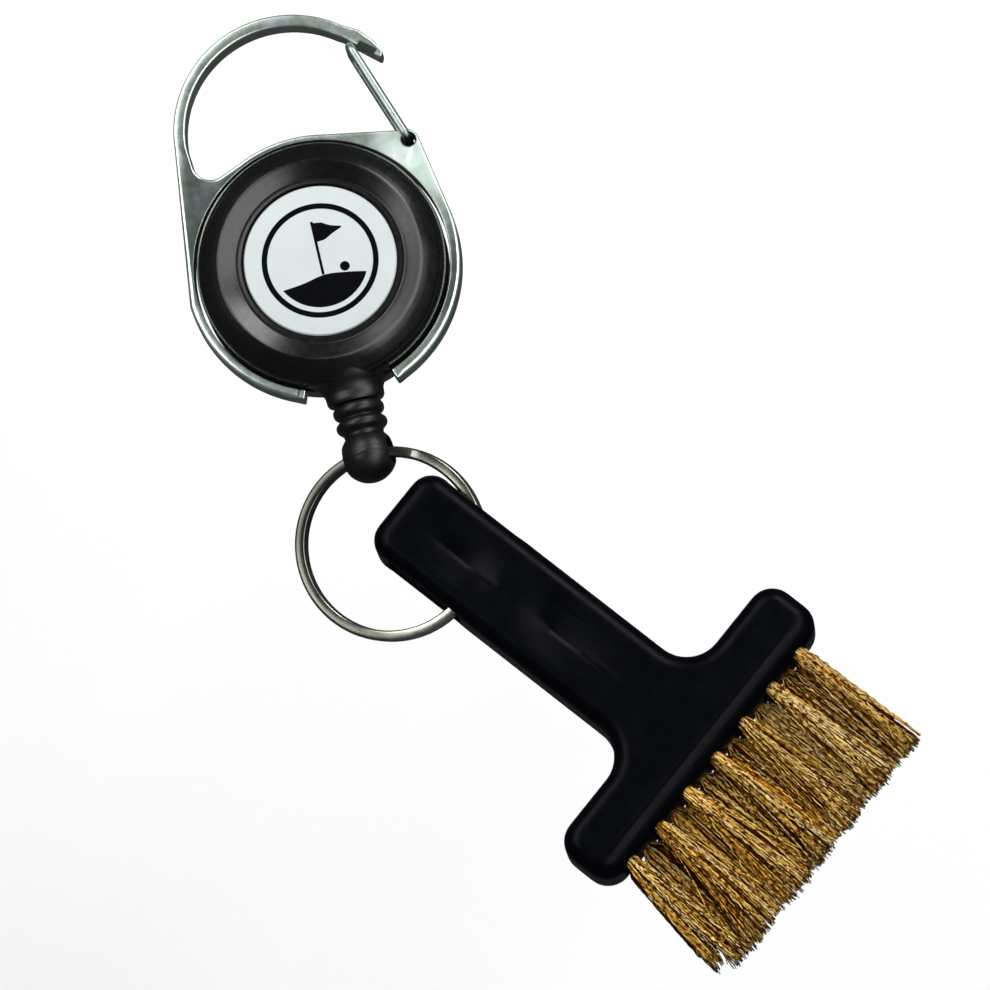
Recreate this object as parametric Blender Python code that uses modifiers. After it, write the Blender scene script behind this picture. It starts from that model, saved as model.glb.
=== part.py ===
"""Golf club groove brush on a retractable key reel with a carabiner frame.

The frame of reference: origin at the centre of the reel's back face, +Z out of the front label,
and the cord leaves the reel along -Y. Driving sizes are in millimetres and are scaled to metres
where a mesh is made.
"""
from math import asin, atan2, cos, degrees, hypot, pi, radians, sin, sqrt

import bmesh
import bpy
from mathutils import Matrix, Vector

MM = 0.001
WELD = 0.00001          # merge distance in metres

# ---- carabiner frame and gate
HOOK_CENTRE = (0.0, 18.5)
HOOK_OUTER_R = 15.0
HOOK_INNER_R = 13.4
FRAME_BACK_Z = 3.4
FRAME_FRONT_Z = 7.0
RING_INNER_R = 16.35    # the part of the frame that grips the case
RING_LEFT_R = 17.6
RING_RIGHT_R = 17.8
BAND_TOP_R = 17.15
ARM_END_ANGLE = 20.0    # each arm stops this far from the cord outlet
TONGUE_R = 15.05        # rib inside the ring, held between the case halves
TONGUE_Z = (4.65, 5.75)
TONGUE_END_ANGLE = 25.0
NOSE_INNER = (9.0, 28.6)
NOSE_TIP = (13.4, 24.7)
GATE_PIVOT = (14.4, 13.4)
GATE_PIN_HOLE_D = 1.75
GATE_WIRE_D = 1.15
GATE_TIP = (9.75, 27.0)
GATE_FACE_GAP = 0.32

# ---- reel case
CASE_R = 16.0
CASE_DEPTH = 10.4
PARTING_Z = 5.2
PARTING_GAP = 0.15      # each half stops this far from the parting plane
NECK_R = 14.75          # the case walls step in here to grip the frame's rib
NECK_Z = (4.3, 6.1)
CAVITY_R = 13.95
FLOOR_Z = 1.0
ROOF_Z = 8.35
LABEL_R = 9.75
LABEL_SEAT_R = 10.0
LABEL_SEAT_Z = 8.9
LABEL_Z = (9.05, 9.5)
POST_D = 4.0
POST_TOP_Z = 8.0

# ---- spool, mainspring and cord
SPOOL_BORE_D = 4.3
DRUM_R = 10.6
DRUM_WALL = 1.0
FLANGE_R = 13.6
FLANGE_T = 0.8
SPOOL_Z = (1.3, 7.9)
SPRING_Z = (2.45, 6.75)
SPRING_TURNS = 7
SPRING_STEPS = 22
SPRING_T = 0.22
COVER_Z = (7.1, 7.6)
CORD_D = 0.8
CORD_X = 0.3            # the cord leaves the reel on this line
WINDING_R = (10.85, 12.2)
TANGENT_R = 12.95       # where the cord lifts off the winding

# ---- outlet and cord end fitting, distances measured from the origin along -Y
OUTLET_END = 18.15
FITTING_TOP = 18.45
RIB_PLACES = (19.3, 21.2)
RIB_R = 3.3
GROOVE_R = 2.7
BALL_AT = 25.2
BALL_R = 3.55
CROSS_HOLE_D = 3.8
KNOT_AT = 22.25
KNOT_D = 2.2
CORD_END_AT = 20.85

# ---- split ring
RING_CENTRE_XY = (0.5, -36.75)
RING_R = 11.7
RING_WIRE_W = 1.4
RING_WIRE_T = 1.05
RING_PITCH = 1.15
RING_TILT = 12.0
RING_START = 62.0       # angle of the first wire end, from the ring's own X axis
JOG_SPAN = 34.0
RING_STEPS_PER_TURN = 48

# ---- brush, in its own frame: u runs from the handle's end to the bristles, v across it
BRUSH_ORIGIN = (2.286, -32.802)
BRUSH_ANGLE = -51.78
HANDLE_T = 10.0
HANDLE_HALF_W = 6.4
HANDLE_CORNER_R = 3.0
NECK_FILLET_R = 4.7
HEAD_BACK_U = 42.8
HEAD_FRONT_U = 51.9
HEAD_HALF_V = 21.6
HEAD_CORNER_R = 3.2
EDGE_ROUND = 1.0
SLOT_U = (3.5, 15.0)
SLOT_Z = (2.3, 7.8)
SLOT_CORNER_R = 1.2
TUFT_PITCH = 5.6
TUFT_ROWS = ((7.7, 7), (5.0, 6), (2.3, 7))      # height and number of tufts in each row
TUFT_V0 = -0.3
TUFT_HOLE_D = 2.25
TUFT_ROOT_D = 1.95
TUFT_ROOT_DEPTH = 4.6
TUFT_HOLE_DEPTH = 5.0
BRISTLE_LENGTH = 18.0
TUFT_TIP = (2.45, 1.15)                         # half width along the row and across it
TUFT_FAN = 0.055
ANCHOR_SIZE = (1.3, 2.0, 0.35)                  # along u, across the hole, thickness
ANCHOR_AT = 3.4                                 # depth of its middle below the head's face


# ---------------------------------------------------------------- scene and materials

def clear_scene():
    for obj in list(bpy.data.objects):
        bpy.data.objects.remove(obj, do_unlink=True)


def new_collection(name):
    collection = bpy.data.collections.new(name)
    bpy.context.scene.collection.children.link(collection)
    return collection


def make_material(name, colour, roughness, metallic):
    material = bpy.data.materials.new(name)
    material.use_nodes = True
    shader = material.node_tree.nodes["Principled BSDF"]
    shader.inputs["Base Color"].default_value = (*colour, 1.0)
    shader.inputs["Roughness"].default_value = roughness
    shader.inputs["Metallic"].default_value = metallic
    return material


clear_scene()
PARTS = new_collection("club_groove_brush")
CUTTERS = new_collection("cutters")

ZINC = ((0.62, 0.64, 0.63), 0.3, 1.0)
STEEL = ((0.70, 0.69, 0.66), 0.22, 1.0)
BLACK_CASE = ((0.012, 0.012, 0.013), 0.32, 0.0)
BLACK_BOOT = ((0.014, 0.014, 0.014), 0.38, 0.0)
NAVY_HANDLE = ((0.008, 0.010, 0.016), 0.45, 0.0)
LABEL_WHITE = ((0.86, 0.90, 0.91), 0.3, 0.0)
NYLON_BLACK = ((0.02, 0.02, 0.02), 0.7, 0.0)
INNER_WHITE = ((0.75, 0.75, 0.72), 0.5, 0.0)
SPRING_STEEL = ((0.35, 0.38, 0.42), 0.3, 1.0)
BRASS_WIRE = ((0.72, 0.50, 0.18), 0.35, 1.0)
BRASS_PLATE = ((0.78, 0.60, 0.28), 0.4, 1.0)


# ---------------------------------------------------------------- building helpers

def add_object(name, data, finish=None):
    """Link an object: into the parts with its own material, or as a cutter when it has none."""
    obj = bpy.data.objects.new(name, data)
    if finish is None:
        CUTTERS.objects.link(obj)
        obj.hide_render = True
        obj.display_type = 'WIRE'
    else:
        PARTS.objects.link(obj)
        data.materials.append(make_material(name, *finish))
    return obj


def mesh_from_bmesh(name, bm, smooth_angle=None):
    mesh = bpy.data.meshes.new(name)
    bm.to_mesh(mesh)
    bm.free()
    if smooth_angle is not None:
        mesh.shade_smooth()
        mesh.set_sharp_from_angle(angle=radians(smooth_angle))
    return mesh


def turned(name, profile, steps, finish=None, closed=False):
    """A profile of (radius, height) points in mm, turned round local Z by a Screw modifier."""
    bm = bmesh.new()
    verts = [bm.verts.new((r * MM, 0.0, z * MM)) for r, z in profile]
    for a, b in zip(verts, verts[1:]):
        bm.edges.new((a, b))
    if closed:
        bm.edges.new((verts[-1], verts[0]))
    obj = add_object(name, mesh_from_bmesh(name, bm), finish)
    screw = obj.modifiers.new("turn", 'SCREW')
    screw.steps = steps
    screw.render_steps = steps
    screw.use_merge_vertices = True
    screw.merge_threshold = WELD
    screw.use_smooth_shade = True
    return obj


def curve_object(name, outlines, finish=None):
    """A 2D curve object with one closed outline for each list of (x, y) points in mm."""
    curve = bpy.data.curves.new(name, 'CURVE')
    curve.dimensions = '2D'
    curve.fill_mode = 'BOTH'
    for outline in outlines:
        spline = curve.splines.new('POLY')
        spline.points.add(len(outline) - 1)
        for point, (x, y) in zip(spline.points, outline):
            point.co = (x * MM, y * MM, 0.0, 1.0)
        spline.use_cyclic_u = True
    return add_object(name, curve, finish)


def to_mesh(obj):
    """Turn a curve object into a welded mesh object of the same name and place."""
    bpy.context.view_layer.update()
    evaluated = obj.evaluated_get(bpy.context.evaluated_depsgraph_get())
    mesh = bpy.data.meshes.new_from_object(evaluated)
    bm = bmesh.new()
    bm.from_mesh(mesh)
    bmesh.ops.remove_doubles(bm, verts=bm.verts, dist=WELD)
    bmesh.ops.dissolve_degenerate(bm, edges=bm.edges, dist=WELD)
    bmesh.ops.recalc_face_normals(bm, faces=bm.faces)
    bm.to_mesh(mesh)
    bm.free()
    name, place, homes = obj.name, obj.matrix_world.copy(), list(obj.users_collection)
    hidden, display = obj.hide_render, obj.display_type
    bpy.data.objects.remove(obj, do_unlink=True)
    new = bpy.data.objects.new(name, mesh)
    for home in homes:
        home.objects.link(new)
    new.hide_render = hidden
    new.display_type = display
    new.matrix_world = place
    return new


def plate(name, outlines, low_z, high_z, finish=None):
    """A flat piece: outlines filled and raised from low_z to high_z."""
    obj = curve_object(name, outlines, finish)
    obj.data.extrude = (high_z - low_z) / 2 * MM
    obj.location.z = (high_z + low_z) / 2 * MM
    return to_mesh(obj)


def tube(name, points, diameter, finish, resolution=2):
    """A round wire through points in mm, with closed ends."""
    curve = bpy.data.curves.new(name, 'CURVE')
    curve.dimensions = '3D'
    curve.bevel_depth = diameter / 2 * MM
    curve.bevel_resolution = resolution
    curve.use_fill_caps = True
    spline = curve.splines.new('POLY')
    spline.points.add(len(points) - 1)
    for point, co in zip(spline.points, points):
        point.co = (*(Vector(co) * MM), 1.0)
    return add_object(name, curve, finish)


def box(name, low, high, finish=None):
    bm = bmesh.new()
    bmesh.ops.create_cube(bm, size=1.0)
    low, high = Vector(low) * MM, Vector(high) * MM
    bmesh.ops.scale(bm, vec=high - low, verts=bm.verts)
    bmesh.ops.translate(bm, vec=(low + high) / 2, verts=bm.verts)
    return add_object(name, mesh_from_bmesh(name, bm), finish)


def rod(name, diameter, length, sides, finish=None):
    """A round bar of this length, centred, along local Z."""
    bm = bmesh.new()
    bmesh.ops.create_cone(bm, cap_ends=True, segments=sides, radius1=diameter / 2 * MM,
                          radius2=diameter / 2 * MM, depth=length * MM)
    return add_object(name, mesh_from_bmesh(name, bm), finish)


def boolean(target, tool, operation):
    modifier = target.modifiers.new(tool.name, 'BOOLEAN')
    modifier.operation = operation
    modifier.solver = 'EXACT'
    modifier.object = tool


def arc(centre, radius, start, end, steps):
    """Points of an arc, angles in degrees, both ends included."""
    turn = [radians(start + (end - start) * i / steps) for i in range(steps + 1)]
    return [(centre[0] + radius * cos(a), centre[1] + radius * sin(a)) for a in turn]


def along_minus_y(obj, x, z):
    """Stand a turned piece's axis along Y: its local height -t comes to y = -t."""
    obj.rotation_euler = (-pi / 2, 0.0, 0.0)
    obj.location = (x * MM, 0.0, z * MM)


# ---------------------------------------------------------------- carabiner frame and gate

def frame_outline():
    """The frame is one bent band: left arm, hook, nose, window edge, right arm, ring inside."""
    origin = (0.0, 0.0)
    arm_left = 270.0 - ARM_END_ANGLE
    arm_right = -90.0 + ARM_END_ANGLE
    points = arc(origin, RING_LEFT_R, arm_left, 184.0, 9)
    points += arc(HOOK_CENTRE, HOOK_OUTER_R, 176.0, 52.0, 16)
    points += [(11.3, 29.1), (12.8, 27.4), (13.75, 25.6), NOSE_TIP, NOSE_INNER]
    points += arc(HOOK_CENTRE, HOOK_INNER_R, 52.0, 178.0, 16)
    points += arc((-10.85, 16.6), 2.35, 182.0, 292.0, 6)
    points += arc(origin, BAND_TOP_R, 113.0, 78.0, 5)
    points += [(13.3, 14.95)]
    points += arc((14.0, 13.2), 1.75, 85.0, 15.0, 4)
    points += arc(origin, RING_RIGHT_R, 12.0, arm_right, 10)
    points += arc(origin, RING_INNER_R, arm_right, arm_left, 48)
    return points


def make_carabiner_frame():
    frame = plate("carabiner_frame", [frame_outline()], FRAME_BACK_Z, FRAME_FRONT_Z, ZINC)
    arms = (-90.0 + TONGUE_END_ANGLE, 270.0 - TONGUE_END_ANGLE)
    rib_outline = arc((0, 0), RING_INNER_R + 0.5, *arms, 48) + arc((0, 0), TONGUE_R, *arms[::-1], 48)
    boolean(frame, plate("frame_rib", [rib_outline], *TONGUE_Z), 'UNION')
    hole = rod("gate_pin_hole", GATE_PIN_HOLE_D, 12.0, 16)
    hole.location = (GATE_PIVOT[0] * MM, GATE_PIVOT[1] * MM, PARTING_Z * MM)
    boolean(frame, hole, 'DIFFERENCE')


def make_wire_gate():
    """One wire bent into a long U over both faces of the frame, its two ends in the pin hole."""
    front = FRAME_FRONT_Z + GATE_FACE_GAP + GATE_WIRE_D / 2
    back = FRAME_BACK_Z - GATE_FACE_GAP - GATE_WIRE_D / 2
    reach = hypot(GATE_TIP[0] - GATE_PIVOT[0], GATE_TIP[1] - GATE_PIVOT[1])
    bend = 1.0
    side = [(0.0, PARTING_Z + 0.4)]
    side += [(0.0, front - bend)]
    side += arc((bend, front - bend), bend, 180.0, 90.0, 4)[1:]
    side += arc((reach - bend, front - bend), bend, 90.0, 0.0, 4)
    mirror = [(s, front + back - z) for s, z in reversed(side)]
    along = Vector((GATE_TIP[0] - GATE_PIVOT[0], GATE_TIP[1] - GATE_PIVOT[1], 0.0)) / reach
    points = [along * s + Vector((0.0, 0.0, z)) for s, z in side + mirror]
    gate = tube("wire_gate", points, GATE_WIRE_D, STEEL)
    gate.location = (GATE_PIVOT[0] * MM, GATE_PIVOT[1] * MM, 0.0)


# ---------------------------------------------------------------- case

def outlet_body(name):
    """Flared neck round the cord outlet, flattened to stay within the case's depth."""
    profile = [(0.0, -12.5), (5.0, -12.5), (5.0, -15.1), (4.3, -15.9), (3.65, -16.8),
               (3.35, -17.6), (3.2, -OUTLET_END), (0.0, -OUTLET_END)]
    neck = turned(name, profile, 28)
    along_minus_y(neck, CORD_X, PARTING_Z)
    neck.scale = (1.0, 0.86, 1.0)
    return neck


def outlet_bore(name):
    """Trumpet shaped way out for the cord, wide at the spool."""
    profile = [(0.0, -12.0), (3.4, -12.0), (3.2, -13.6), (2.2, -14.8), (1.3, -16.0),
               (1.15, -16.8), (1.15, -19.0), (0.0, -19.0)]
    bore = turned(name, profile, 20)
    along_minus_y(bore, CORD_X, PARTING_Z)
    return bore


def finish_case_half(case, waste_low, waste_high, tag):
    """Join the half of the outlet that belongs to this half of the case, then bore it."""
    neck = outlet_body("outlet_" + tag)
    boolean(neck, box("waste_" + tag, (-9, -22, waste_low), (9, -10, waste_high)), 'DIFFERENCE')
    cavity = turned("cavity_" + tag, [(0, 20), (CAVITY_R + 0.3, 20), (CAVITY_R + 0.3, -9), (0, -9)], 48)
    boolean(neck, cavity, 'DIFFERENCE')
    boolean(case, neck, 'UNION')
    boolean(case, outlet_bore("outlet_bore_" + tag), 'DIFFERENCE')


def make_case_back():
    top = PARTING_Z - PARTING_GAP
    profile = [(0, POST_TOP_Z), (POST_D / 2 - 0.3, POST_TOP_Z), (POST_D / 2, POST_TOP_Z - 0.3),
               (POST_D / 2, FLOOR_Z), (CAVITY_R, FLOOR_Z), (CAVITY_R, top), (NECK_R, top),
               (NECK_R, NECK_Z[0]), (CASE_R, NECK_Z[0]), (CASE_R, 1.1), (CASE_R - 0.35, 0.35),
               (CASE_R - 1.1, 0.0), (0, 0)]
    case = turned("case_back", profile, 48, BLACK_CASE)
    finish_case_half(case, top, 30.0, "back")
    slit = box("post_slit", (-0.3, -0.45, 2.0), (3.0, 0.45, 9.0))
    boolean(case, slit, 'DIFFERENCE')


def make_case_front():
    bottom = PARTING_Z + PARTING_GAP
    profile = [(0, LABEL_SEAT_Z), (LABEL_SEAT_R, LABEL_SEAT_Z), (10.25, 9.55), (10.7, 9.8),
               (11.7, 10.1), (12.7, CASE_DEPTH), (13.5, 10.35), (14.5, 9.95), (15.3, 9.2),
               (15.8, 8.3), (CASE_R, 7.3), (CASE_R, NECK_Z[1]), (NECK_R, NECK_Z[1]),
               (NECK_R, bottom), (CAVITY_R, bottom), (CAVITY_R, 7.7), (13.3, ROOF_Z), (0, ROOF_Z)]
    case = turned("case_front", profile, 48, BLACK_CASE)
    finish_case_half(case, -20.0, bottom, "front")


def make_label():
    low, high = LABEL_Z
    profile = [(0, high), (LABEL_R - 0.25, high), (LABEL_R, high - 0.15), (LABEL_R, low), (0, low)]
    turned("label_disc", profile, 48, LABEL_WHITE)


# ---------------------------------------------------------------- spool and cord inside the reel

def make_spool():
    low, high = SPOOL_Z
    bore, inner = SPOOL_BORE_D / 2, DRUM_R - DRUM_WALL
    profile = [(inner, high), (FLANGE_R, high), (FLANGE_R, high - FLANGE_T), (DRUM_R, high - FLANGE_T),
               (DRUM_R, low + FLANGE_T), (FLANGE_R, low + FLANGE_T), (FLANGE_R, low), (bore, low),
               (bore, low + FLANGE_T), (inner, low + FLANGE_T)]
    turned("spool", profile, 40, INNER_WHITE, closed=True)


def make_spring_cover():
    low, high = COVER_Z
    inner, outer = SPOOL_BORE_D / 2 + 0.1, DRUM_R - DRUM_WALL - 0.25
    turned("spring_cover", [(inner, high), (outer, high), (outer, low), (inner, low)], 40, INNER_WHITE,
           closed=True)


def make_mainspring():
    """Flat steel strip wound from the slit in the centre post out to the drum's wall."""
    start_r, end_r = POST_D / 2 + 0.65, DRUM_R - DRUM_WALL - 0.45
    path = [(1.0, 0.0), (1.9, 0.0)]
    total = SPRING_TURNS * SPRING_STEPS
    for i in range(total + 1):
        a = 2 * pi * (i + 2) / SPRING_STEPS
        r = start_r + (end_r - start_r) * i / total
        path.append((r * cos(a), r * sin(a)))
    bm = bmesh.new()
    verts = [bm.verts.new((x * MM, y * MM, SPRING_Z[0] * MM)) for x, y in path]
    edges = [bm.edges.new(pair) for pair in zip(verts, verts[1:])]
    raised = bmesh.ops.extrude_edge_only(bm, edges=edges)["geom"]
    lifted = [item for item in raised if isinstance(item, bmesh.types.BMVert)]
    bmesh.ops.translate(bm, vec=(0, 0, (SPRING_Z[1] - SPRING_Z[0]) * MM), verts=lifted)
    spring = add_object("mainspring", mesh_from_bmesh("mainspring", bm), SPRING_STEEL)
    wall = spring.modifiers.new("strip", 'SOLIDIFY')
    wall.thickness = SPRING_T * MM
    wall.offset = 0.0


def make_cord():
    """The wound cord, its run to the outlet, and the knot that holds the fitting."""
    inner, outer = WINDING_R
    low, high = SPOOL_Z[0] + FLANGE_T + 0.3, SPOOL_Z[1] - FLANGE_T - 0.3
    profile = [(inner, high), (outer - 0.3, high), (outer, high - 0.4), (outer, low + 0.4),
               (outer - 0.3, low), (inner, low)]
    turned("cord_winding", profile, 40, NYLON_BLACK, closed=True)
    mouth = Vector((CORD_X, -14.9, PARTING_Z))
    lift = -pi / 2 + atan2(CORD_X, 14.9) + (pi / 2 - asin(TANGENT_R / mouth.xy.length))
    start = Vector((TANGENT_R * cos(lift), TANGENT_R * sin(lift), PARTING_Z))
    corner = [start, mouth, Vector((CORD_X, -17.0, PARTING_Z))]
    points = [start, start.lerp(mouth, 0.4)]
    for t in (0.0, 0.2, 0.4, 0.6, 0.8, 1.0):
        a = start.lerp(mouth, 0.6).lerp(mouth, t)
        points.append(a.lerp(mouth.lerp(corner[2], t), t))
    points += [Vector((CORD_X, -18.5, PARTING_Z)), Vector((CORD_X, -CORD_END_AT, PARTING_Z))]
    tube("cord_run", points, CORD_D, NYLON_BLACK)
    bm = bmesh.new()
    bmesh.ops.create_uvsphere(bm, u_segments=12, v_segments=8, radius=KNOT_D / 2 * MM)
    knot = add_object("cord_knot", mesh_from_bmesh("cord_knot", bm, 60), NYLON_BLACK)
    knot.location = (CORD_X * MM, -KNOT_AT * MM, PARTING_Z * MM)


def ring_matrix():
    """Place of the split ring: it hangs in the ball and dips away from the line to the handle."""
    ball = Vector((CORD_X, -BALL_AT, PARTING_Z))
    handle_point = Vector((10.3, -42.5, PARTING_Z))
    tilt = Matrix.Rotation(radians(RING_TILT), 4, (handle_point - ball).normalized())
    normal = tilt @ Vector((0, 0, 1))
    centre = Vector((*RING_CENTRE_XY, 0.0))
    centre.z = ball.z - (normal.xy.dot(centre.xy - ball.xy)) / normal.z
    return Matrix.Translation(centre * MM) @ tilt, ball, centre, normal


def make_cord_end_fitting():
    """Ribbed boot with a ball end, bored for the cord and drilled across for the split ring."""
    rib1, rib2 = RIB_PLACES
    throat = 2.6
    start = BALL_AT - sqrt(BALL_R ** 2 - throat ** 2)
    profile = [(0, -24.6), (1.4, -24.6), (1.4, -21.1), (0.7, -21.1), (0.7, -FITTING_TOP),
               (2.7, -FITTING_TOP), (3.05, -18.75), (RIB_R, -rib1), (3.1, -19.85), (GROOVE_R, -20.25),
               (3.1, -20.65), (RIB_R, -rib2), (3.1, -21.7), (throat, -22.15), (throat, -start + 0.15)]
    first = degrees(asin(throat / BALL_R))
    for i in range(11):
        a = radians(first + (180.0 - first) * i / 10)
        profile.append((BALL_R * sin(a) if i < 10 else 0.0, -BALL_AT + BALL_R * cos(a)))
    fitting = turned("cord_end_fitting", profile, 28, BLACK_BOOT)
    along_minus_y(fitting, CORD_X, PARTING_Z)
    _, ball, centre, normal = ring_matrix()
    across = normal.cross((ball - centre).normalized())
    hole = rod("ring_hole", CROSS_HOLE_D, 12.0, 20)
    hole.matrix_world = Matrix.Translation(ball * MM) @ across.to_track_quat('Z', 'Y').to_matrix().to_4x4()
    boolean(fitting, hole, 'DIFFERENCE')


# ---------------------------------------------------------------- split ring

def make_split_ring():
    """Flattened wire wound twice round: one coil above the other, joined by a short jog."""
    turn = RING_STEPS_PER_TURN
    sweep = 720.0 - JOG_SPAN - 4.0
    steps = round(sweep / 360.0 * turn)
    jog_from, jog_to = 360.0 - JOG_SPAN - 2.0, 360.0 - 2.0
    points = []
    for i in range(steps + 1):
        swept = sweep * i / steps
        t = min(1.0, max(0.0, (swept - jog_from) / (jog_to - jog_from)))
        height = RING_PITCH * (0.5 - t * t * (3 - 2 * t))
        a = radians(RING_START - swept)
        points.append((RING_R * cos(a), RING_R * sin(a), height))
    section = curve_object("ring_section", [section_outline(RING_WIRE_W, RING_WIRE_T)])
    section.data.fill_mode = 'NONE'
    ring = tube("split_ring", points, 0.0, STEEL)
    ring.data.bevel_mode = 'OBJECT'
    ring.data.bevel_object = section
    ring.data.twist_mode = 'Z_UP'
    mesh_ring = to_mesh(ring)
    mesh_ring.matrix_world = ring_matrix()[0]


def section_outline(width, height):
    """Rounded oblong with eight points."""
    w, h, c = width / 2, height / 2, min(width, height) * 0.28
    return [(w, h - c), (w - c, h), (c - w, h), (-w, h - c), (-w, c - h), (c - w, -h), (w - c, -h),
            (w, c - h)]


# ---------------------------------------------------------------- brush

def brush_matrix():
    place = Matrix.Translation(Vector((*BRUSH_ORIGIN, 0.0)) * MM)
    return place @ Matrix.Rotation(radians(BRUSH_ANGLE), 4, 'Z')


def handle_outline():
    """The T shape: one half from the handle's end to the bristle face, then its reflection."""
    w, r, f = HANDLE_HALF_W, HANDLE_CORNER_R, NECK_FILLET_R
    half = arc((r, w - r), r, 180.0, 90.0, 4)
    half += arc((HEAD_BACK_U - f, w + f), f, -90.0, 0.0, 6)
    half += arc((HEAD_BACK_U + HEAD_CORNER_R, HEAD_HALF_V - HEAD_CORNER_R), HEAD_CORNER_R, 180.0, 90.0, 4)
    half += arc((HEAD_FRONT_U - HEAD_CORNER_R, HEAD_HALF_V - HEAD_CORNER_R), HEAD_CORNER_R, 90.0, 0.0, 4)
    return half + [(u, -v) for u, v in reversed(half)]


def tuft_places():
    """(v, z) of every tuft, row by row from the front face."""
    places = []
    for z, count in TUFT_ROWS:
        first = TUFT_V0 - TUFT_PITCH * (count - 1) / 2
        places += [(first + TUFT_PITCH * i, z) for i in range(count)]
    return places


def make_handle():
    handle = plate("brush_handle", [handle_outline()], 0.0, HANDLE_T, NAVY_HANDLE)
    edge = handle.modifiers.new("rounded_edges", 'BEVEL')
    edge.width = EDGE_ROUND * MM
    edge.segments = 2
    edge.limit_method = 'ANGLE'
    edge.angle_limit = radians(60)
    (u0, u1), (z0, z1), r = SLOT_U, SLOT_Z, SLOT_CORNER_R
    slot_outline = arc((u1 - r, z0 + r), r, -90.0, 0.0, 3) + arc((u1 - r, z1 - r), r, 0.0, 90.0, 3)
    slot_outline += arc((u0 + r, z1 - r), r, 90.0, 180.0, 3) + arc((u0 + r, z0 + r), r, 180.0, 270.0, 3)
    slot = plate("keyring_slot", [slot_outline], -12.0, 12.0)
    slot.matrix_world = Matrix.Rotation(pi / 2, 4, 'X')
    bm = bmesh.new()
    for v, z in tuft_places():
        depth = TUFT_HOLE_DEPTH + 2.0
        place = Matrix.Translation(Vector((HEAD_FRONT_U - TUFT_HOLE_DEPTH + depth / 2, v, z)) * MM)
        bmesh.ops.create_cone(bm, cap_ends=True, segments=10, radius1=TUFT_HOLE_D / 2 * MM,
                              radius2=TUFT_HOLE_D / 2 * MM, depth=depth * MM,
                              matrix=place @ Matrix.Rotation(pi / 2, 4, 'Y'))
    holes = add_object("tuft_holes", mesh_from_bmesh("tuft_holes", bm))
    for tool in (holes, slot):
        boolean(handle, tool, 'DIFFERENCE')
        tool.matrix_world = brush_matrix() @ tool.matrix_world
    handle.matrix_world = brush_matrix() @ handle.matrix_world


def tuft_mesh(name, lean):
    """Round root that spreads into a flat brush of wires leaning sideways."""
    sides = 10
    root = TUFT_ROOT_D / 2
    stations = [(-TUFT_ROOT_DEPTH, root, root, 0.0), (0.3, root, root, 0.0),
                (6.0, 1.6, 1.05, 0.3), (BRISTLE_LENGTH, *TUFT_TIP, 1.0)]
    bm = bmesh.new()
    rings = []
    for u, along_row, across_row, share in stations:
        ring = []
        for i in range(sides):
            a = 2 * pi * (i + 0.5) / sides
            ring.append(bm.verts.new((u * MM, (along_row * cos(a) + lean * share) * MM,
                                      across_row * sin(a) * MM)))
        rings.append(ring)
    for low, high in zip(rings, rings[1:]):
        for i in range(sides):
            j = (i + 1) % sides
            bm.faces.new((low[i], low[j], high[j], high[i]))
    bm.faces.new(rings[0])
    bm.faces.new(rings[-1])
    bmesh.ops.recalc_face_normals(bm, faces=bm.faces)
    return mesh_from_bmesh(name, bm, 40)


def make_tufts():
    """Each tuft is folded over a small flat anchor that holds it in its hole."""
    along, wide, thick = ANCHOR_SIZE
    top_v = max(v for v, _ in tuft_places())
    for number, (v, z) in enumerate(tuft_places(), start=1):
        place = brush_matrix() @ Matrix.Translation(Vector((HEAD_FRONT_U, v, z)) * MM)
        name = f"bristle_tuft_{number:02d}"
        tuft = add_object(name, tuft_mesh(name, TUFT_FAN * (v - top_v)), BRASS_WIRE)
        tuft.matrix_world = place
        slot = box(f"anchor_slot_{number:02d}", (-ANCHOR_AT - along / 2 - 0.15, -2, -thick / 2 - 0.12),
                   (-ANCHOR_AT + along / 2 + 0.15, 2, thick / 2 + 0.12))
        slot.matrix_world = place
        boolean(tuft, slot, 'DIFFERENCE')
        anchor = box(f"tuft_anchor_{number:02d}", (-ANCHOR_AT - along / 2, -wide / 2, -thick / 2),
                     (-ANCHOR_AT + along / 2, wide / 2, thick / 2), BRASS_PLATE)
        anchor.matrix_world = place


make_carabiner_frame()
make_wire_gate()
make_case_back()
make_case_front()
make_label()
make_spool()
make_spring_cover()
make_mainspring()
make_cord()
make_cord_end_fitting()
make_split_ring()
make_handle()
make_tufts()
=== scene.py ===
"""Looks of the club groove brush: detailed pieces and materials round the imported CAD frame.

Everything is in the frame of the CAD: origin at the centre of the reel's back face, +Z out of the
label, the cord leaving along -Y. Sizes are written in millimetres and turned to metres on the way in.
"""

from math import asin, atan2, cos, degrees, exp, hypot, pi, radians, sin, sqrt, tan

import bmesh
import bpy
import numpy as np
from mathutils import Matrix, Vector


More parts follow.
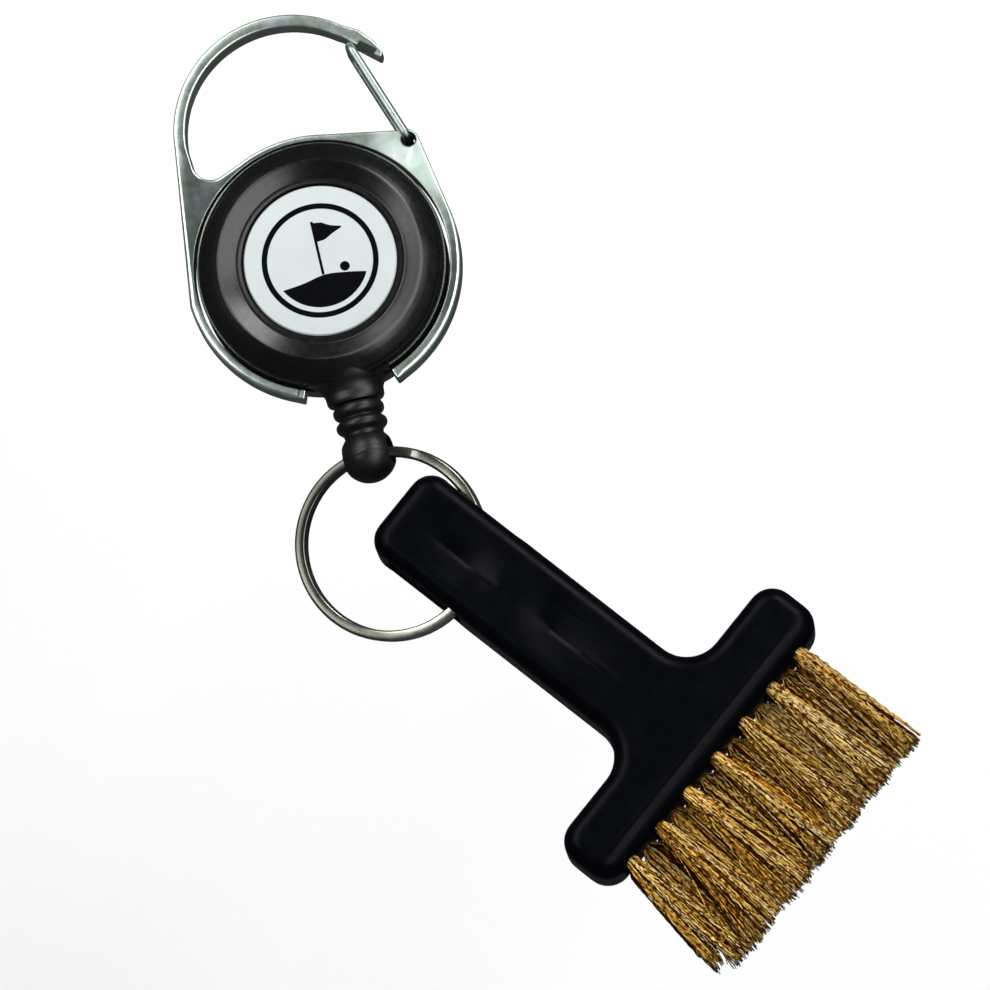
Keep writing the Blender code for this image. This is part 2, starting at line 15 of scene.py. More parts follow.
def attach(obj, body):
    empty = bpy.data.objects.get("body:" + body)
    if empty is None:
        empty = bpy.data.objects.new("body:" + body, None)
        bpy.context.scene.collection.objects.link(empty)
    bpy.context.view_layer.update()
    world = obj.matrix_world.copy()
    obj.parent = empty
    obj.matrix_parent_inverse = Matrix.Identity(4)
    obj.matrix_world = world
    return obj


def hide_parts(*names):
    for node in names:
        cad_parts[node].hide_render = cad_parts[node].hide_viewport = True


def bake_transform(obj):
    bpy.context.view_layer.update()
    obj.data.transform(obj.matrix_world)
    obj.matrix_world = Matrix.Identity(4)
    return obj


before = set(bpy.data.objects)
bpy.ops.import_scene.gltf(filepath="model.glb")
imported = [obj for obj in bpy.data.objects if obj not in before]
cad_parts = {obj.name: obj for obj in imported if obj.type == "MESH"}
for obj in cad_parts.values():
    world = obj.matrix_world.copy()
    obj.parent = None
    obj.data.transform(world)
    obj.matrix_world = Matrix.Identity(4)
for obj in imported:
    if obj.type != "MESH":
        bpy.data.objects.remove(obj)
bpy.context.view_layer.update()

MM = 0.001
WHOLE_TURN = 2 * pi

# ---- carabiner frame and gate
HOOK_CENTRE = (0.0, 18.5)
HOOK_OUTER_R = 15.0
HOOK_INNER_R = 13.4
FRAME_Z = (3.4, 7.0)
RING_INNER_R = 16.35
RING_LEFT_R = 17.6
RING_RIGHT_R = 17.8
BAND_TOP_R = 17.15
ARM_END_ANGLE = 20.0
NOSE_INNER = (9.0, 28.6)
NOSE_TIP = (13.4, 24.7)
GATE_PIVOT = (14.4, 13.4)
GATE_TIP = (9.75, 27.0)
PIN_HOLE_D = 1.75
NOSE_REBATE = (2.3, 4.85)
NOSE_REBATE_SLANT = 62.0
GATE_WIRE_D = 1.15
GATE_BEND_R = 1.0
GATE_FACE_GAP = 0.32

# ---- reel
CASE_R = 16.0
CASE_STEPS = 160
PARTING_Z = 5.2
PARTING_GAP = 0.15
NECK_R = 14.75
CAVITY_R = 13.95
LABEL_R = 9.75
LABEL_Z = (9.05, 9.5)
CORD_X = 0.3
CORD_D = 0.8
OUTLET_END = 18.15
NECK_SQUASH = 0.78

# ---- cord end fitting, distances from the origin along -Y
FITTING_TOP = 18.45
BALL_AT = 25.2
BALL_R = 3.55
BALL_SEAM = 0.02
BOOT_END_R = 2.5
CROSS_HOLE_D = 3.8
CORD_END_AT = 20.85

# ---- split ring
RING_CENTRE_XY = (0.5, -36.75)
RING_R = 11.7
RING_WIRE = (1.4, 1.05)
RING_WIRE_CORNER_R = 0.34
RING_PITCH = 1.15
RING_TILT = 12.0
RING_START = 62.0
JOG_SPAN = 34.0

# ---- brush, in its own frame: u from the handle's end to the bristles, v across it
BRUSH_ORIGIN = (2.286, -32.802)
BRUSH_ANGLE = -51.78
HANDLE_T = 10.0
HANDLE_HALF_W = 6.4
HANDLE_CORNER_R = 3.0
HANDLE_EDGE_R = 2.3
NECK_FILLET_R = 4.7
HEAD_BACK_U = 42.8
HEAD_FRONT_U = 51.9
HEAD_HALF_V = 21.6
HEAD_CORNER_R = 3.2
SLOT_U = (3.5, 15.0)
SLOT_Z = (2.3, 7.8)
SLOT_CORNER_R = 1.2
TUFT_PITCH = 5.6
TUFT_ROWS = ((7.7, 7), (5.0, 6), (2.3, 7))
TUFT_V0 = -0.3
TUFT_HOLE_D = 2.25
TUFT_HOLE_LENGTH = 7.0
TUFT_HOLE_DEPTH = 5.0
TUFT_ROOT_R = 0.9
TUFT_DEPTH = 1.6
BRISTLE_LENGTH = 18.0
TUFT_FAN = 0.055

# ---- stage
FLOOR_Z = -100.0
MIDDLE = (14.7, -34.0, 5.0)


# ---- mesh helpers

def link(obj):
    bpy.context.scene.collection.objects.link(obj)
    return obj


def mesh_of(name, bm, smooth_angle=35):
    bmesh.ops.recalc_face_normals(bm, faces=bm.faces)
    mesh = bpy.data.meshes.new(name)
    bm.to_mesh(mesh)
    bm.free()
    return shade(mesh, smooth_angle)


def shade(mesh, smooth_angle):
    mesh.shade_smooth()
    mesh.set_sharp_from_angle(angle=radians(smooth_angle))
    return mesh


def evaluated(obj):
    """The object's mesh with its modifiers applied. The object itself is removed."""
    bpy.context.view_layer.update()
    graph = bpy.context.evaluated_depsgraph_get()
    mesh = bpy.data.meshes.new_from_object(obj.evaluated_get(graph), depsgraph=graph)
    bpy.data.objects.remove(obj, do_unlink=True)
    return mesh


def carve(mesh, tools, operation='DIFFERENCE', smooth_angle=35):
    """Boolean of a mesh with each (mesh, matrix) tool in turn."""
    target = link(bpy.data.objects.new("work", mesh))
    helpers = []
    for tool, place in tools:
        helper = link(bpy.data.objects.new("tool", tool))
        helper.matrix_world = place
        helpers.append(helper)
        modifier = target.modifiers.new("cut", 'BOOLEAN')
        modifier.operation = operation
        modifier.solver = 'EXACT'
        modifier.object = helper
    result = evaluated(target)
    for helper in helpers:
        bpy.data.objects.remove(helper, do_unlink=True)
    return shade(result, smooth_angle)


def piece(name, mesh, finish, body, replaced=(), place=None):
    """A finished mesh becomes a visible piece that rides on a body and stands for CAD nodes."""
    mesh.materials.clear()
    mesh.materials.append(finish)
    obj = link(bpy.data.objects.new(name, mesh))
    if place is not None:
        obj.matrix_world = place
    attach(obj, body)
    if replaced:
        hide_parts(*replaced)
    return obj


def turned(name, profile, steps):
    """Closed mesh made by turning (radius, height) points in mm round local Z."""
    bm = bmesh.new()
    turns = circle(1.0, steps)
    rings = []
    for r, z in profile:
        if r == 0:
            rings.append([bm.verts.new((0, 0, z * MM))] * steps)
        else:
            rings.append([bm.verts.new((r * MM * c, r * MM * s, z * MM)) for c, s in turns])
    following = rings[1:] + ([rings[0]] if profile[0][0] > 0 else [])
    for low, high in zip(rings, following):
        for i in range(steps):
            j = (i + 1) % steps
            corners = list(dict.fromkeys((low[i], low[j], high[j], high[i])))
            if len(corners) > 2:
                bm.faces.new(corners)
    return mesh_of(name, bm)


def flowing(points, per_span):
    """Catmull-Rom curve through the points, ends included."""
    points = [Vector(p) for p in points]
    ends = [2 * points[0] - points[1]] + points + [2 * points[-1] - points[-2]]
    curve = []
    for a, b, c, d in zip(ends, ends[1:], ends[2:], ends[3:]):
        for i in range(per_span):
            t = i / per_span
            curve.append(0.5 * (2 * b + (c - a) * t + (2 * a - 5 * b + 4 * c - d) * t * t
                                + (3 * b - a - 3 * c + d) * t ** 3))
    return [tuple(p) for p in curve + [points[-1]]]


def arc(centre, radius, start, end, steps):
    turn = [radians(start + (end - start) * i / steps) for i in range(steps + 1)]
    return [(centre[0] + radius * cos(a), centre[1] + radius * sin(a)) for a in turn]


def fillet(points, radius):
    """Rounds each corner of a closed outline that turns by more than the limit."""
    limit, steps = radians(25.0), 5
    result = []
    count = len(points)
    for i, corner in enumerate(points):
        corner = Vector(corner)
        before, after = Vector(points[i - 1]) - corner, Vector(points[(i + 1) % count]) - corner
        turn = pi - before.angle(after)
        if turn < limit:
            result.append(tuple(corner))
            continue
        reach = min(radius * tan(turn / 2), 0.45 * before.length, 0.45 * after.length)
        start, end = corner + before.normalized() * reach, corner + after.normalized() * reach
        for k in range(steps + 1):
            t = k / steps
            result.append(tuple(start.lerp(corner, t).lerp(corner.lerp(end, t), t)))
    return result


def inset_directions(points):
    """For each corner of a closed outline, the inward step that moves both its sides by 1."""
    area = sum(a[0] * b[1] - b[0] * a[1] for a, b in zip(points, points[1:] + points[:1]))
    side = 1.0 if area > 0 else -1.0
    steps = []
    for i, point in enumerate(points):
        into = (Vector(point) - Vector(points[i - 1])).normalized()
        out = (Vector(points[(i + 1) % len(points)]) - Vector(point)).normalized()
        normals = Vector((-into.y, into.x)) * side, Vector((-out.y, out.x)) * side
        mean = (normals[0] + normals[1]).normalized()
        steps.append(mean / max(0.4, mean.dot(normals[0])))
    return steps


def rounded_plate(name, outline, low, high, radius_at, steps=4):
    """Plate with quarter-round edges: radius_at(x, y) in mm gives the radius along the outline."""
    directions = inset_directions(outline)
    radii = [radius_at(*p) for p in outline]
    bm = bmesh.new()
    loops = []
    quarter = [radians(90.0 * k / steps) for k in range(steps + 1)]
    for upper in (False, True):
        for angle in (quarter if upper else quarter[::-1]):
            loop = []
            for (x, y), step, r in zip(outline, directions, radii):
                inset = r * (1 - cos(angle))
                z = high - r + r * sin(angle) if upper else low + r - r * sin(angle)
                loop.append(bm.verts.new(((x + step.x * inset) * MM, (y + step.y * inset) * MM, z * MM)))
            loops.append(loop)
    for lower, upper in zip(loops, loops[1:]):
        for i in range(len(lower)):
            j = (i + 1) % len(lower)
            bm.faces.new((lower[i], lower[j], upper[j], upper[i]))
    caps = [bm.faces.new(loops[0]), bm.faces.new(loops[-1])]
    bmesh.ops.triangulate(bm, faces=caps)
    return mesh_of(name, bm)


def flat_plate(name, outline, low, high):
    """Sharp-edged plate from an outline in mm."""
    bm = bmesh.new()
    face = bm.faces.new([bm.verts.new((x * MM, y * MM, low * MM)) for x, y in outline])
    raised = bmesh.ops.extrude_face_region(bm, geom=[face])["geom"]
    top = [item for item in raised if isinstance(item, bmesh.types.BMVert)]
    bmesh.ops.translate(bm, vec=(0, 0, (high - low) * MM), verts=top)
    return mesh_of(name, bm, 30)


def rod(diameter, length, sides, diameter_2=None):
    """Round bar or cone of this length in mm, centred, along local Z."""
    bm = bmesh.new()
    end = diameter if diameter_2 is None else diameter_2
    bmesh.ops.create_cone(bm, cap_ends=True, segments=sides, radius1=diameter / 2 * MM,
                          radius2=end / 2 * MM, depth=length * MM)
    return mesh_of("rod", bm)


def block(low, high):
    """Rectangular cutter between two corners in mm."""
    bm = bmesh.new()
    bmesh.ops.create_cube(bm, size=1.0)
    low, high = Vector(low) * MM, Vector(high) * MM
    bmesh.ops.scale(bm, vec=high - low, verts=bm.verts)
    bmesh.ops.translate(bm, vec=(low + high) / 2, verts=bm.verts)
    return mesh_of("block", bm)


def sweep(name, path, sections, upward=None, smooth_angle=50):
    """Tube through points in mm. sections gives, for each point, its outline as (side, up) pairs."""
    path = [Vector(p) for p in path]
    bm = bmesh.new()
    rings = []
    side = None
    for i, point in enumerate(path):
        along = (path[min(i + 1, len(path) - 1)] - path[max(i - 1, 0)]).normalized()
        if upward is not None:
            side = along.cross(upward).normalized()
        elif side is None:
            side = along.orthogonal().normalized()
        else:
            side = (side - along * side.dot(along)).normalized()
        up = side.cross(along)
        rings.append([bm.verts.new((point + side * s + up * t) * MM) for s, t in sections[i]])
    for low, high in zip(rings, rings[1:]):
        for i in range(len(low)):
            j = (i + 1) % len(low)
            bm.faces.new((low[i], low[j], high[j], high[i]))
    bm.faces.new(rings[0])
    bm.faces.new(rings[-1])
    return mesh_of(name, bm, smooth_angle)


def circle(radius, sides):
    """Corners of a regular outline round the origin."""
    turns = [WHOLE_TURN * i / sides for i in range(sides)]
    return [(radius * cos(a), radius * sin(a)) for a in turns]


def shift(x, y, z=0.0):
    return Matrix.Translation(Vector((x, y, z)) * MM)


# ---- materials

# The colour sockets of a Mix node, which has others of the same names.
MIX_FACTOR, MIX_A, MIX_B, MIX_RESULT = 0, 6, 7, 2
# Most of a noise's values lie between these.
NOISE_MIDDLE = (0.3, 0.7)


def grey(level):
    return level, level, level


class Finish:
    """A procedural material. Noises in object space drive its colour, roughness and bump."""

    def __init__(self, name, colour, roughness, metallic=0.0, **sockets):
        self.material = bpy.data.materials.new(name)
        self.material.use_nodes = True
        self.tree = self.material.node_tree
        self.shader = self.tree.nodes["Principled BSDF"]
        self.shader.inputs["Base Color"].default_value = (*colour, 1.0)
        self.shader.inputs["Roughness"].default_value = roughness
        self.shader.inputs["Metallic"].default_value = metallic
        for socket, value in sockets.items():
            self.shader.inputs[socket.replace("_", " ")].default_value = value
        self.coordinates = self.add('ShaderNodeTexCoord').outputs["Object"]
        self.normal = None

    def add(self, kind, settings=None, **links):
        node = self.tree.nodes.new(kind)
        for key, value in (settings or {}).items():
            if key in node.inputs:
                node.inputs[key].default_value = value
            else:
                setattr(node, key, value)
        for key, source in links.items():
            self.tree.links.new(source, node.inputs[key.replace("_", " ")])
        return node

    def mapped(self, stretch=(1.0, 1.0, 1.0), turn=(0.0, 0.0, 0.0)):
        """Object coordinates in millimetres, divided by stretch along each axis."""
        settings = {"Scale": [1.0 / (MM * s) for s in stretch], "Rotation": turn}
        return self.add('ShaderNodeMapping', settings, Vector=self.coordinates).outputs["Vector"]

    def noise(self, size, detail=3.0, rough=0.5, stretch=(1.0, 1.0, 1.0), turn=(0.0, 0.0, 0.0)):
        """Noise with blobs of about this size in mm."""
        settings = {"Scale": 1.0 / size, "Detail": detail, "Roughness": rough}
        node = self.add('ShaderNodeTexNoise', settings, Vector=self.mapped(stretch, turn))
        return node.outputs["Fac"]

    def ranged(self, source, low, high, new_low, new_high):
        settings = {"From Min": low, "From Max": high, "To Min": new_low, "To Max": new_high}
        return self.add('ShaderNodeMapRange', settings, Value=source).outputs["Result"]

    def ramp(self, source, *stops):
        """Colour ramp from (position, colour) stops."""
        node = self.add('ShaderNodeValToRGB', Fac=source)
        elements = node.color_ramp.elements
        while len(elements) < len(stops):
            elements.new(0.5)
        for element, (position, colour) in zip(elements, stops):
            element.position = position
            element.color = (*colour, 1.0)
        return node.outputs["Color"]

    def mixed(self, colour, amount, other, blend='MULTIPLY'):
        """The colour, blended with the other one as far as amount goes."""
        mix = self.add('ShaderNodeMix', {"data_type": 'RGBA', "blend_type": blend})
        mix.inputs[MIX_B].default_value = (*other, 1.0)
        self.tree.links.new(amount, mix.inputs[MIX_FACTOR])
        self.tree.links.new(colour, mix.inputs[MIX_A])
        return mix.outputs[MIX_RESULT]

    def sum_of(self, total, *others):
        for source in others:
            node = self.add('ShaderNodeMath', {"operation": 'ADD'})
            self.tree.links.new(total, node.inputs[0])
            self.tree.links.new(source, node.inputs[1])
            total = node.outputs[0]
        return total

    def distance_to(self, point):
        """Distance in mm from a point of the piece's own frame."""
        node = self.add('ShaderNodeVectorMath', {"operation": 'DISTANCE'}, Vector=self.mapped())
        node.inputs[1].default_value = point
        return node.outputs["Value"]

    def colour_from(self, source):
        self.tree.links.new(source, self.shader.inputs["Base Color"])

    def clouded(self, source, low, dark, high, light):
        """Base colour between two tones, by the source between low and high."""
        self.colour_from(self.ramp(source, (low, dark), (high, light)))

    def roughness_from(self, source):
        self.tree.links.new(source, self.shader.inputs["Roughness"])

    def satin(self, smooth, rough, *noise, **more):
        """Roughness between two values over the middle of a noise."""
        return self.ranged(self.noise(*noise, **more), *NOISE_MIDDLE, smooth, rough)

    def skin(self, *satin, **more):
        self.roughness_from(self.satin(*satin, **more))

    def spot(self, point, inner, outer, inside, outside=0.0):
        """A value that fades from inside to outside between two distances in mm from a point."""
        return self.ranged(self.distance_to(point), inner, outer, inside, outside)

    def bump(self, source, height, strength):
        """Adds relief of this height in mm to what is there already."""
        settings = {"Distance": height * MM, "Strength": strength}
        node = self.add('ShaderNodeBump', settings, Height=source)
        if self.normal is not None:
            self.tree.links.new(self.normal, node.inputs["Normal"])
        self.normal = node.outputs["Normal"]
        self.tree.links.new(self.normal, self.shader.inputs["Normal"])


def plated_zinc():
    """Tumbled die casting with a thin plating: satin top faces, walls darkened with painted shade, painted
    shade round the pin hole, faint green clouds.
    """
    f = Finish("zinc_plated", (0.66, 0.70, 0.68), 0.3, 1.0)
    front = FRAME_Z[1]
    clouds = f.ramp(f.noise(3.4), (0.34, (0.50, 0.61, 0.50)), (0.5, (0.64, 0.76, 0.69)),
                    (0.68, (0.76, 0.84, 0.88)))
    normal = f.add('ShaderNodeTexCoord').outputs["Normal"]
    upright = f.add('ShaderNodeSeparateXYZ', Vector=normal).outputs["Z"]
    facing = f.add('ShaderNodeMath', {"operation": 'ABSOLUTE'}, Value=upright).outputs[0]
    # Painted shade: faces that turn sideways are darkened towards grey.
    wall_shade = f.ranged(facing, 0.25, 0.6, 1.0, 0.0)
    clouds_and_wall_shade = f.mixed(clouds, wall_shade, (0.60, 0.60, 0.57))
    # Painted shade: a near-black ring round the pin hole.
    pin_hole_shade = f.spot((*GATE_PIVOT, front), 0.95, 1.15, 1.0)
    f.colour_from(f.mixed(clouds_and_wall_shade, pin_hole_shade, grey(0.02)))
    rubbed_corner = f.spot((15.5, 10.5, front), 3.0, 8.0, 0.2)
    polished_band = f.spot((-11.0, 10.0, front), 7.5, 13.0, -0.08)
    polished_arm = f.spot((16.5, -6.0, front), 3.0, 8.0, -0.1)
    satin = f.satin(0.25, 0.31, 1.4, 4.0, 0.6)
    on_edge = f.ranged(facing, 0.75, 0.97, 0.16, 0.0)
    f.roughness_from(f.sum_of(satin, on_edge, rubbed_corner, polished_band, polished_arm))
    f.bump(f.noise(2.2, 2.0), 0.02, 0.25)
    f.bump(f.noise(0.3, 2.0), 0.001, 0.4)
    return f.material


def drawn_wire():
    """Bright drawn steel with lines along the wire's length, and painted shade where it goes into the pin
    hole.
    """
    f = Finish("drawn_steel", (0.42, 0.50, 0.46), 0.4, 1.0)
    clouds = f.ramp(f.noise(2.2), (0.3, (0.34, 0.42, 0.38)), (0.7, (0.48, 0.55, 0.52)))
    # Painted shade: the wire goes near black where it enters the pin hole.
    shade_at_pin = f.spot((*GATE_PIVOT, FRAME_Z[1]), 1.0, 1.7, 1.0)
    f.colour_from(f.mixed(clouds, shade_at_pin, grey(0.03)))
    f.skin(0.36, 0.48, 0.7, 4.0, 0.6)
    f.bump(f.noise(0.18, 2.0, 0.5, stretch=(1.0, 6.0, 1.0), turn=(0.0, 0.0, -0.33)), 0.003, 0.5)
    return f.material


def ring_nickel():
    """Warm nickel plate with fine scuffs, and painted shade that darkens it away from the part nearest the
    handle.
    """
    f = Finish("nickel_plate", (0.46, 0.46, 0.40), 0.2, 1.0)
    clouds = f.ramp(f.noise(4.5), (0.3, (0.40, 0.40, 0.33)), (0.7, (0.56, 0.55, 0.48)))
    # Painted shade: the ring darkens away from the part nearest the handle.
    shade_away = f.spot((7.0, -8.0, 0.0), 8.0, 22.0, 0.0, 1.0)
    f.colour_from(f.mixed(clouds, shade_away, grey(0.18)))
    f.skin(0.16, 0.24, 1.6)
    f.bump(f.noise(0.4, 3.0, 0.6), 0.001, 0.4)
    return f.material


def case_plastic():
    """Black ABS with a soft sheen and faint flow clouds, duller by the outlet."""
    f = Finish("case_black", grey(0.002), 0.25)
    f.clouded(f.noise(3.0, 5.0, 0.6), 0.35, grey(0.0016), 0.7, grey(0.0028))
    by_outlet = f.spot((0.0, -18.0, 8.0), 2.0, 5.0, 0.16)
    f.roughness_from(f.sum_of(f.satin(0.21, 0.3, 0.9, 6.0, 0.7), by_outlet))
    f.bump(f.noise(0.35), 0.0015, 0.4)
    return f.material


def boot_rubber():
    """Black moulding with a slightly pitted skin."""
    f = Finish("boot_black", grey(0.004), 0.36, Specular_IOR_Level=0.36)
    f.clouded(f.noise(1.6, 5.0, 0.6), 0.35, grey(0.0032), 0.7, grey(0.0058))
    f.skin(0.3, 0.46, 0.6, 5.0, 0.65)
    f.bump(f.noise(0.3, 4.0, 0.6), 0.008, 0.5)
    return f.material


def handle_plastic():
    """Near-black navy nylon with a fine moulded grain."""
    f = Finish("handle_navy", (0.0006, 0.0009, 0.0020), 0.32, Specular_IOR_Level=0.055)
    f.clouded(f.noise(6.0, 4.0, 0.6), 0.3, (0.0005, 0.0008, 0.0018), 0.7, (0.0008, 0.0012, 0.0025))
    f.skin(0.28, 0.4, 2.2, 5.0, 0.6)
    f.bump(f.noise(1.4), 0.012, 0.35)
    f.bump(f.noise(0.16, 2.0), 0.003, 0.4)
    return f.material


def label_foil():
    """Matt silver-white sticker with a very fine metallic grain."""
    f = Finish("label_silver", (0.56, 0.61, 0.61), 0.38)
    f.clouded(f.noise(5.0), 0.3, (0.54, 0.59, 0.59), 0.7, (0.58, 0.63, 0.63))
    f.skin(0.32, 0.46, 0.25, 2.0)
    f.bump(f.noise(0.2, 2.0), 0.002, 0.4)
    return f.material


def label_ink():
    """Matt printed black."""
    f = Finish("label_ink", (0.002, 0.0022, 0.003), 0.5, Specular_IOR_Level=0.03)
    f.skin(0.4, 0.55, 0.3)
    return f.material


def brass_wire():
    """Brass wire: each wire's own tone carries painted shade too, dark dashes of painted shade run along it
    and its tip is duller.
    """
    f = Finish("brass_wire", (0.86, 0.56, 0.16), 0.24, 0.6, Specular_IOR_Level=0.08,
               Specular_Tint=(1.0, 0.62, 0.2, 1.0))
    # This attribute holds each wire's own tone together with painted shade for buried wires and back rows.
    tone_and_shade = f.add('ShaderNodeAttribute', {"attribute_name": "tone_and_shade"}).outputs["Fac"]
    colour = f.ramp(tone_and_shade, (0.0, (0.015, 0.004, 0.001)), (0.25, (0.18, 0.06, 0.006)),
                    (0.5, (0.92, 0.45, 0.05)), (0.8, (1.0, 0.66, 0.13)), (1.0, (1.0, 0.84, 0.45)))
    dull = f.add('ShaderNodeAttribute', {"attribute_name": "dull"}).outputs["Fac"]
    colour = f.mixed(colour, dull, (0.37, 0.29, 0.11), blend='MIX')
    # Painted shade: dark dashes along the wires stand in for the shadows the crimps cast.
    shade_dashes = f.noise(0.3, 2.0, 0.6, stretch=(2.4, 1.0, 1.0))
    f.colour_from(f.mixed(colour, f.ranged(shade_dashes, 0.42, 0.52, 1.0, 0.0), (0.14, 0.05, 0.02)))
    f.skin(0.27, 0.38, 0.5)
    f.bump(f.noise(0.5, 2.0), 0.001, 0.3)
    return f.material


def brass_plate():
    """Stamped brass strip."""
    f = Finish("brass_plate", (0.78, 0.60, 0.28), 0.35, 1.0)
    f.skin(0.25, 0.45, 0.5)
    f.bump(f.noise(0.2, 2.0), 0.003, 0.4)
    return f.material


def inner_plastic():
    """Natural white moulding."""
    f = Finish("inner_white", (0.74, 0.74, 0.70), 0.5)
    f.clouded(f.noise(4.0), 0.3, (0.68, 0.68, 0.64), 0.7, (0.78, 0.78, 0.74))
    f.bump(f.noise(0.4), 0.006, 0.5)
    return f.material


def spring_strip():
    """Blue rolled spring steel."""
    f = Finish("spring_steel", (0.42, 0.45, 0.50), 0.28, 1.0)
    f.skin(0.2, 0.4, 0.3, 3.0, 0.6, stretch=(1.0, 1.0, 8.0))
    f.bump(f.noise(0.2, 2.0), 0.002, 0.5)
    return f.material


def braided_nylon():
    """Fine black braid: two sets of slanting strands."""
    f = Finish("cord_black", (0.02, 0.02, 0.021), 0.6)
    heights = []
    for lean in (0.6, -0.6):
        wave = f.add('ShaderNodeTexWave', {"Scale": 1.1, "Distortion": 0.4, "Detail": 1.0},
                     Vector=f.mapped(turn=(0.0, 0.0, lean)))
        heights.append(wave.outputs["Fac"])
    for height in heights:
        f.bump(height, 0.03, 0.8)
    f.clouded(heights[0], 0.2, (0.012, 0.012, 0.013), 0.8, (0.032, 0.032, 0.034))
    return f.material


# ---- carabiner frame and gate

def frame_outline():
    """The same bent band as in the CAD, with finer arcs and small rounded corners."""
    origin = (0.0, 0.0)
    arm_left = 270.0 - ARM_END_ANGLE
    arm_right = -90.0 + ARM_END_ANGLE
    points = arc(origin, RING_LEFT_R, arm_left, 184.0, 36)
    points += arc(HOOK_CENTRE, HOOK_OUTER_R, 176.0, 52.0, 64)
    points += [(11.3, 29.1), (12.8, 27.4), (13.75, 25.6), NOSE_TIP, NOSE_INNER]
    points += arc(HOOK_CENTRE, HOOK_INNER_R, 52.0, 178.0, 64)
    points += arc((-10.85, 16.6), 2.35, 182.0, 292.0, 20)
    points += arc(origin, BAND_TOP_R, 113.0, 78.0, 20)
    points += [(13.3, 14.95)]
    points += arc((14.0, 13.2), 1.75, 85.0, 15.0, 10)
    points += arc(origin, RING_RIGHT_R, 12.0, arm_right, 44)
    points += arc(origin, RING_INNER_R, arm_right, arm_left, 150)
    return fillet(points, 0.35)


def frame_edge_radius(x, y):
    """Well rounded along the outside of the lower arms, a fine chamfer by the case, soft elsewhere."""
    r = hypot(x, y)
    if r < RING_INNER_R + 0.1:
        return 0.15
    if hypot(x - NOSE_TIP[0], y - NOSE_TIP[1]) < 1.6:
        return 0.16
    if r < RING_RIGHT_R + 0.3:
        lower = min(1.0, max(0.0, (4.0 - y) / 6.0))
        from_end = min(abs(degrees(atan2(y, x)) + 90.0 - side * ARM_END_ANGLE) for side in (-1, 1))
        return min(0.15 + 0.12 * from_end, 0.34 + 0.3 * lower)
    return 0.34


def make_frame(zinc):
    """The cast band with its countersunk pin hole, a nick in the left arm and the claw on the nose."""
    mesh = rounded_plate("carabiner_frame_cast", frame_outline(), *FRAME_Z, frame_edge_radius)
    pivot = shift(*GATE_PIVOT, PARTING_Z)
    tools = [(rod(PIN_HOLE_D, 12.0, 40), pivot)]
    for side in (1.0, -1.0):
        z = FRAME_Z[1] if side > 0 else FRAME_Z[0]
        cone = rod(PIN_HOLE_D - 0.3 * side, 0.9, 40, PIN_HOLE_D + 0.3 * side)
        tools.append((cone, shift(*GATE_PIVOT, z)))
    notch_angle = radians(270.0 - ARM_END_ANGLE - 2.6)
    notch = block((RING_INNER_R - 0.2, -0.16, FRAME_Z[1] - 1.1),
                  (RING_INNER_R + 0.95, 0.16, FRAME_Z[1] + 0.5))
    tools.append((notch, Matrix.Rotation(notch_angle, 4, 'Z')))
    inner_edge = atan2(NOSE_TIP[1] - NOSE_INNER[1], NOSE_TIP[0] - NOSE_INNER[0])
    rebate = block((NOSE_REBATE[0], -3.0, 0.0), (NOSE_REBATE[1], 0.0, 3.0))
    place = shift(*NOSE_INNER, FRAME_Z[1]) @ Matrix.Rotation(inner_edge, 4, 'Z') @ shift(0.0, 0.75)
    tools.append((rebate, place @ Matrix.Rotation(radians(NOSE_REBATE_SLANT), 4, 'X')))
    mesh = carve(mesh, tools)
    piece("carabiner_frame_cast", mesh, zinc, "reel", ["carabiner_frame"])


def make_gate(steel):
    """One wire bent into a long U over both faces of the frame, its ends in the pin hole."""
    front = FRAME_Z[1] + GATE_FACE_GAP + GATE_WIRE_D / 2
    back = FRAME_Z[0] - GATE_FACE_GAP - GATE_WIRE_D / 2
    reach = hypot(GATE_TIP[0] - GATE_PIVOT[0], GATE_TIP[1] - GATE_PIVOT[1])
    bend = GATE_BEND_R
    side = [(0.0, PARTING_Z + 0.4), (0.0, PARTING_Z + 1.0), (0.0, front - bend - 0.3)]
    side += arc((bend, front - bend), bend, 180.0, 90.0, 12)
    side += [(bend + (reach - 2 * bend) * t / 8, front) for t in range(1, 8)]
    side += arc((reach - bend, front - bend), bend, 90.0, 0.0, 12)
    mirror = [(s, front + back - z) for s, z in reversed(side)]
    along = Vector((GATE_TIP[0] - GATE_PIVOT[0], GATE_TIP[1] - GATE_PIVOT[1], 0.0)) / reach
    pivot = Vector((*GATE_PIVOT, 0.0))
    path = [pivot + along * s + Vector((0.0, 0.0, z)) for s, z in side + mirror]
    mesh = sweep("wire_gate_drawn", path, [circle(GATE_WIRE_D / 2, 24)] * len(path))
    piece("wire_gate_drawn", mesh, steel, "gate", ["wire_gate"])


# ---- reel

def stand_along_y(x, z, squash=1.0):
    """Place of a turned piece whose local height -t comes to y = -t."""
    return shift(x, 0.0, z) @ Matrix.Rotation(-pi / 2, 4, 'X') @ Matrix.Diagonal((1.0, squash, 1.0, 1.0))


def outlet_profile():
    """The cord outlet as (radius, -distance from the reel's centre) points."""
    flare = flowing([(5.6, -14.3), (4.9, -15.3), (4.2, -16.1), (3.82, -16.8), (3.76, -17.3),
                     (3.72, -17.8)], 5)
    return [(0.0, -12.9), (5.6, -12.9)] + flare + [(3.5, -OUTLET_END), (0.0, -OUTLET_END)]


def outlet_bore_profile():
    """The bore for the cord, which opens out at both ends."""
    return [(0.0, -12.0), (3.4, -12.0), (3.2, -13.6), (2.2, -14.8), (1.3, -16.0), (1.15, -16.8),
            (1.15, -17.7), (1.5, -18.3), (1.9, -19.0), (0.0, -19.0)]


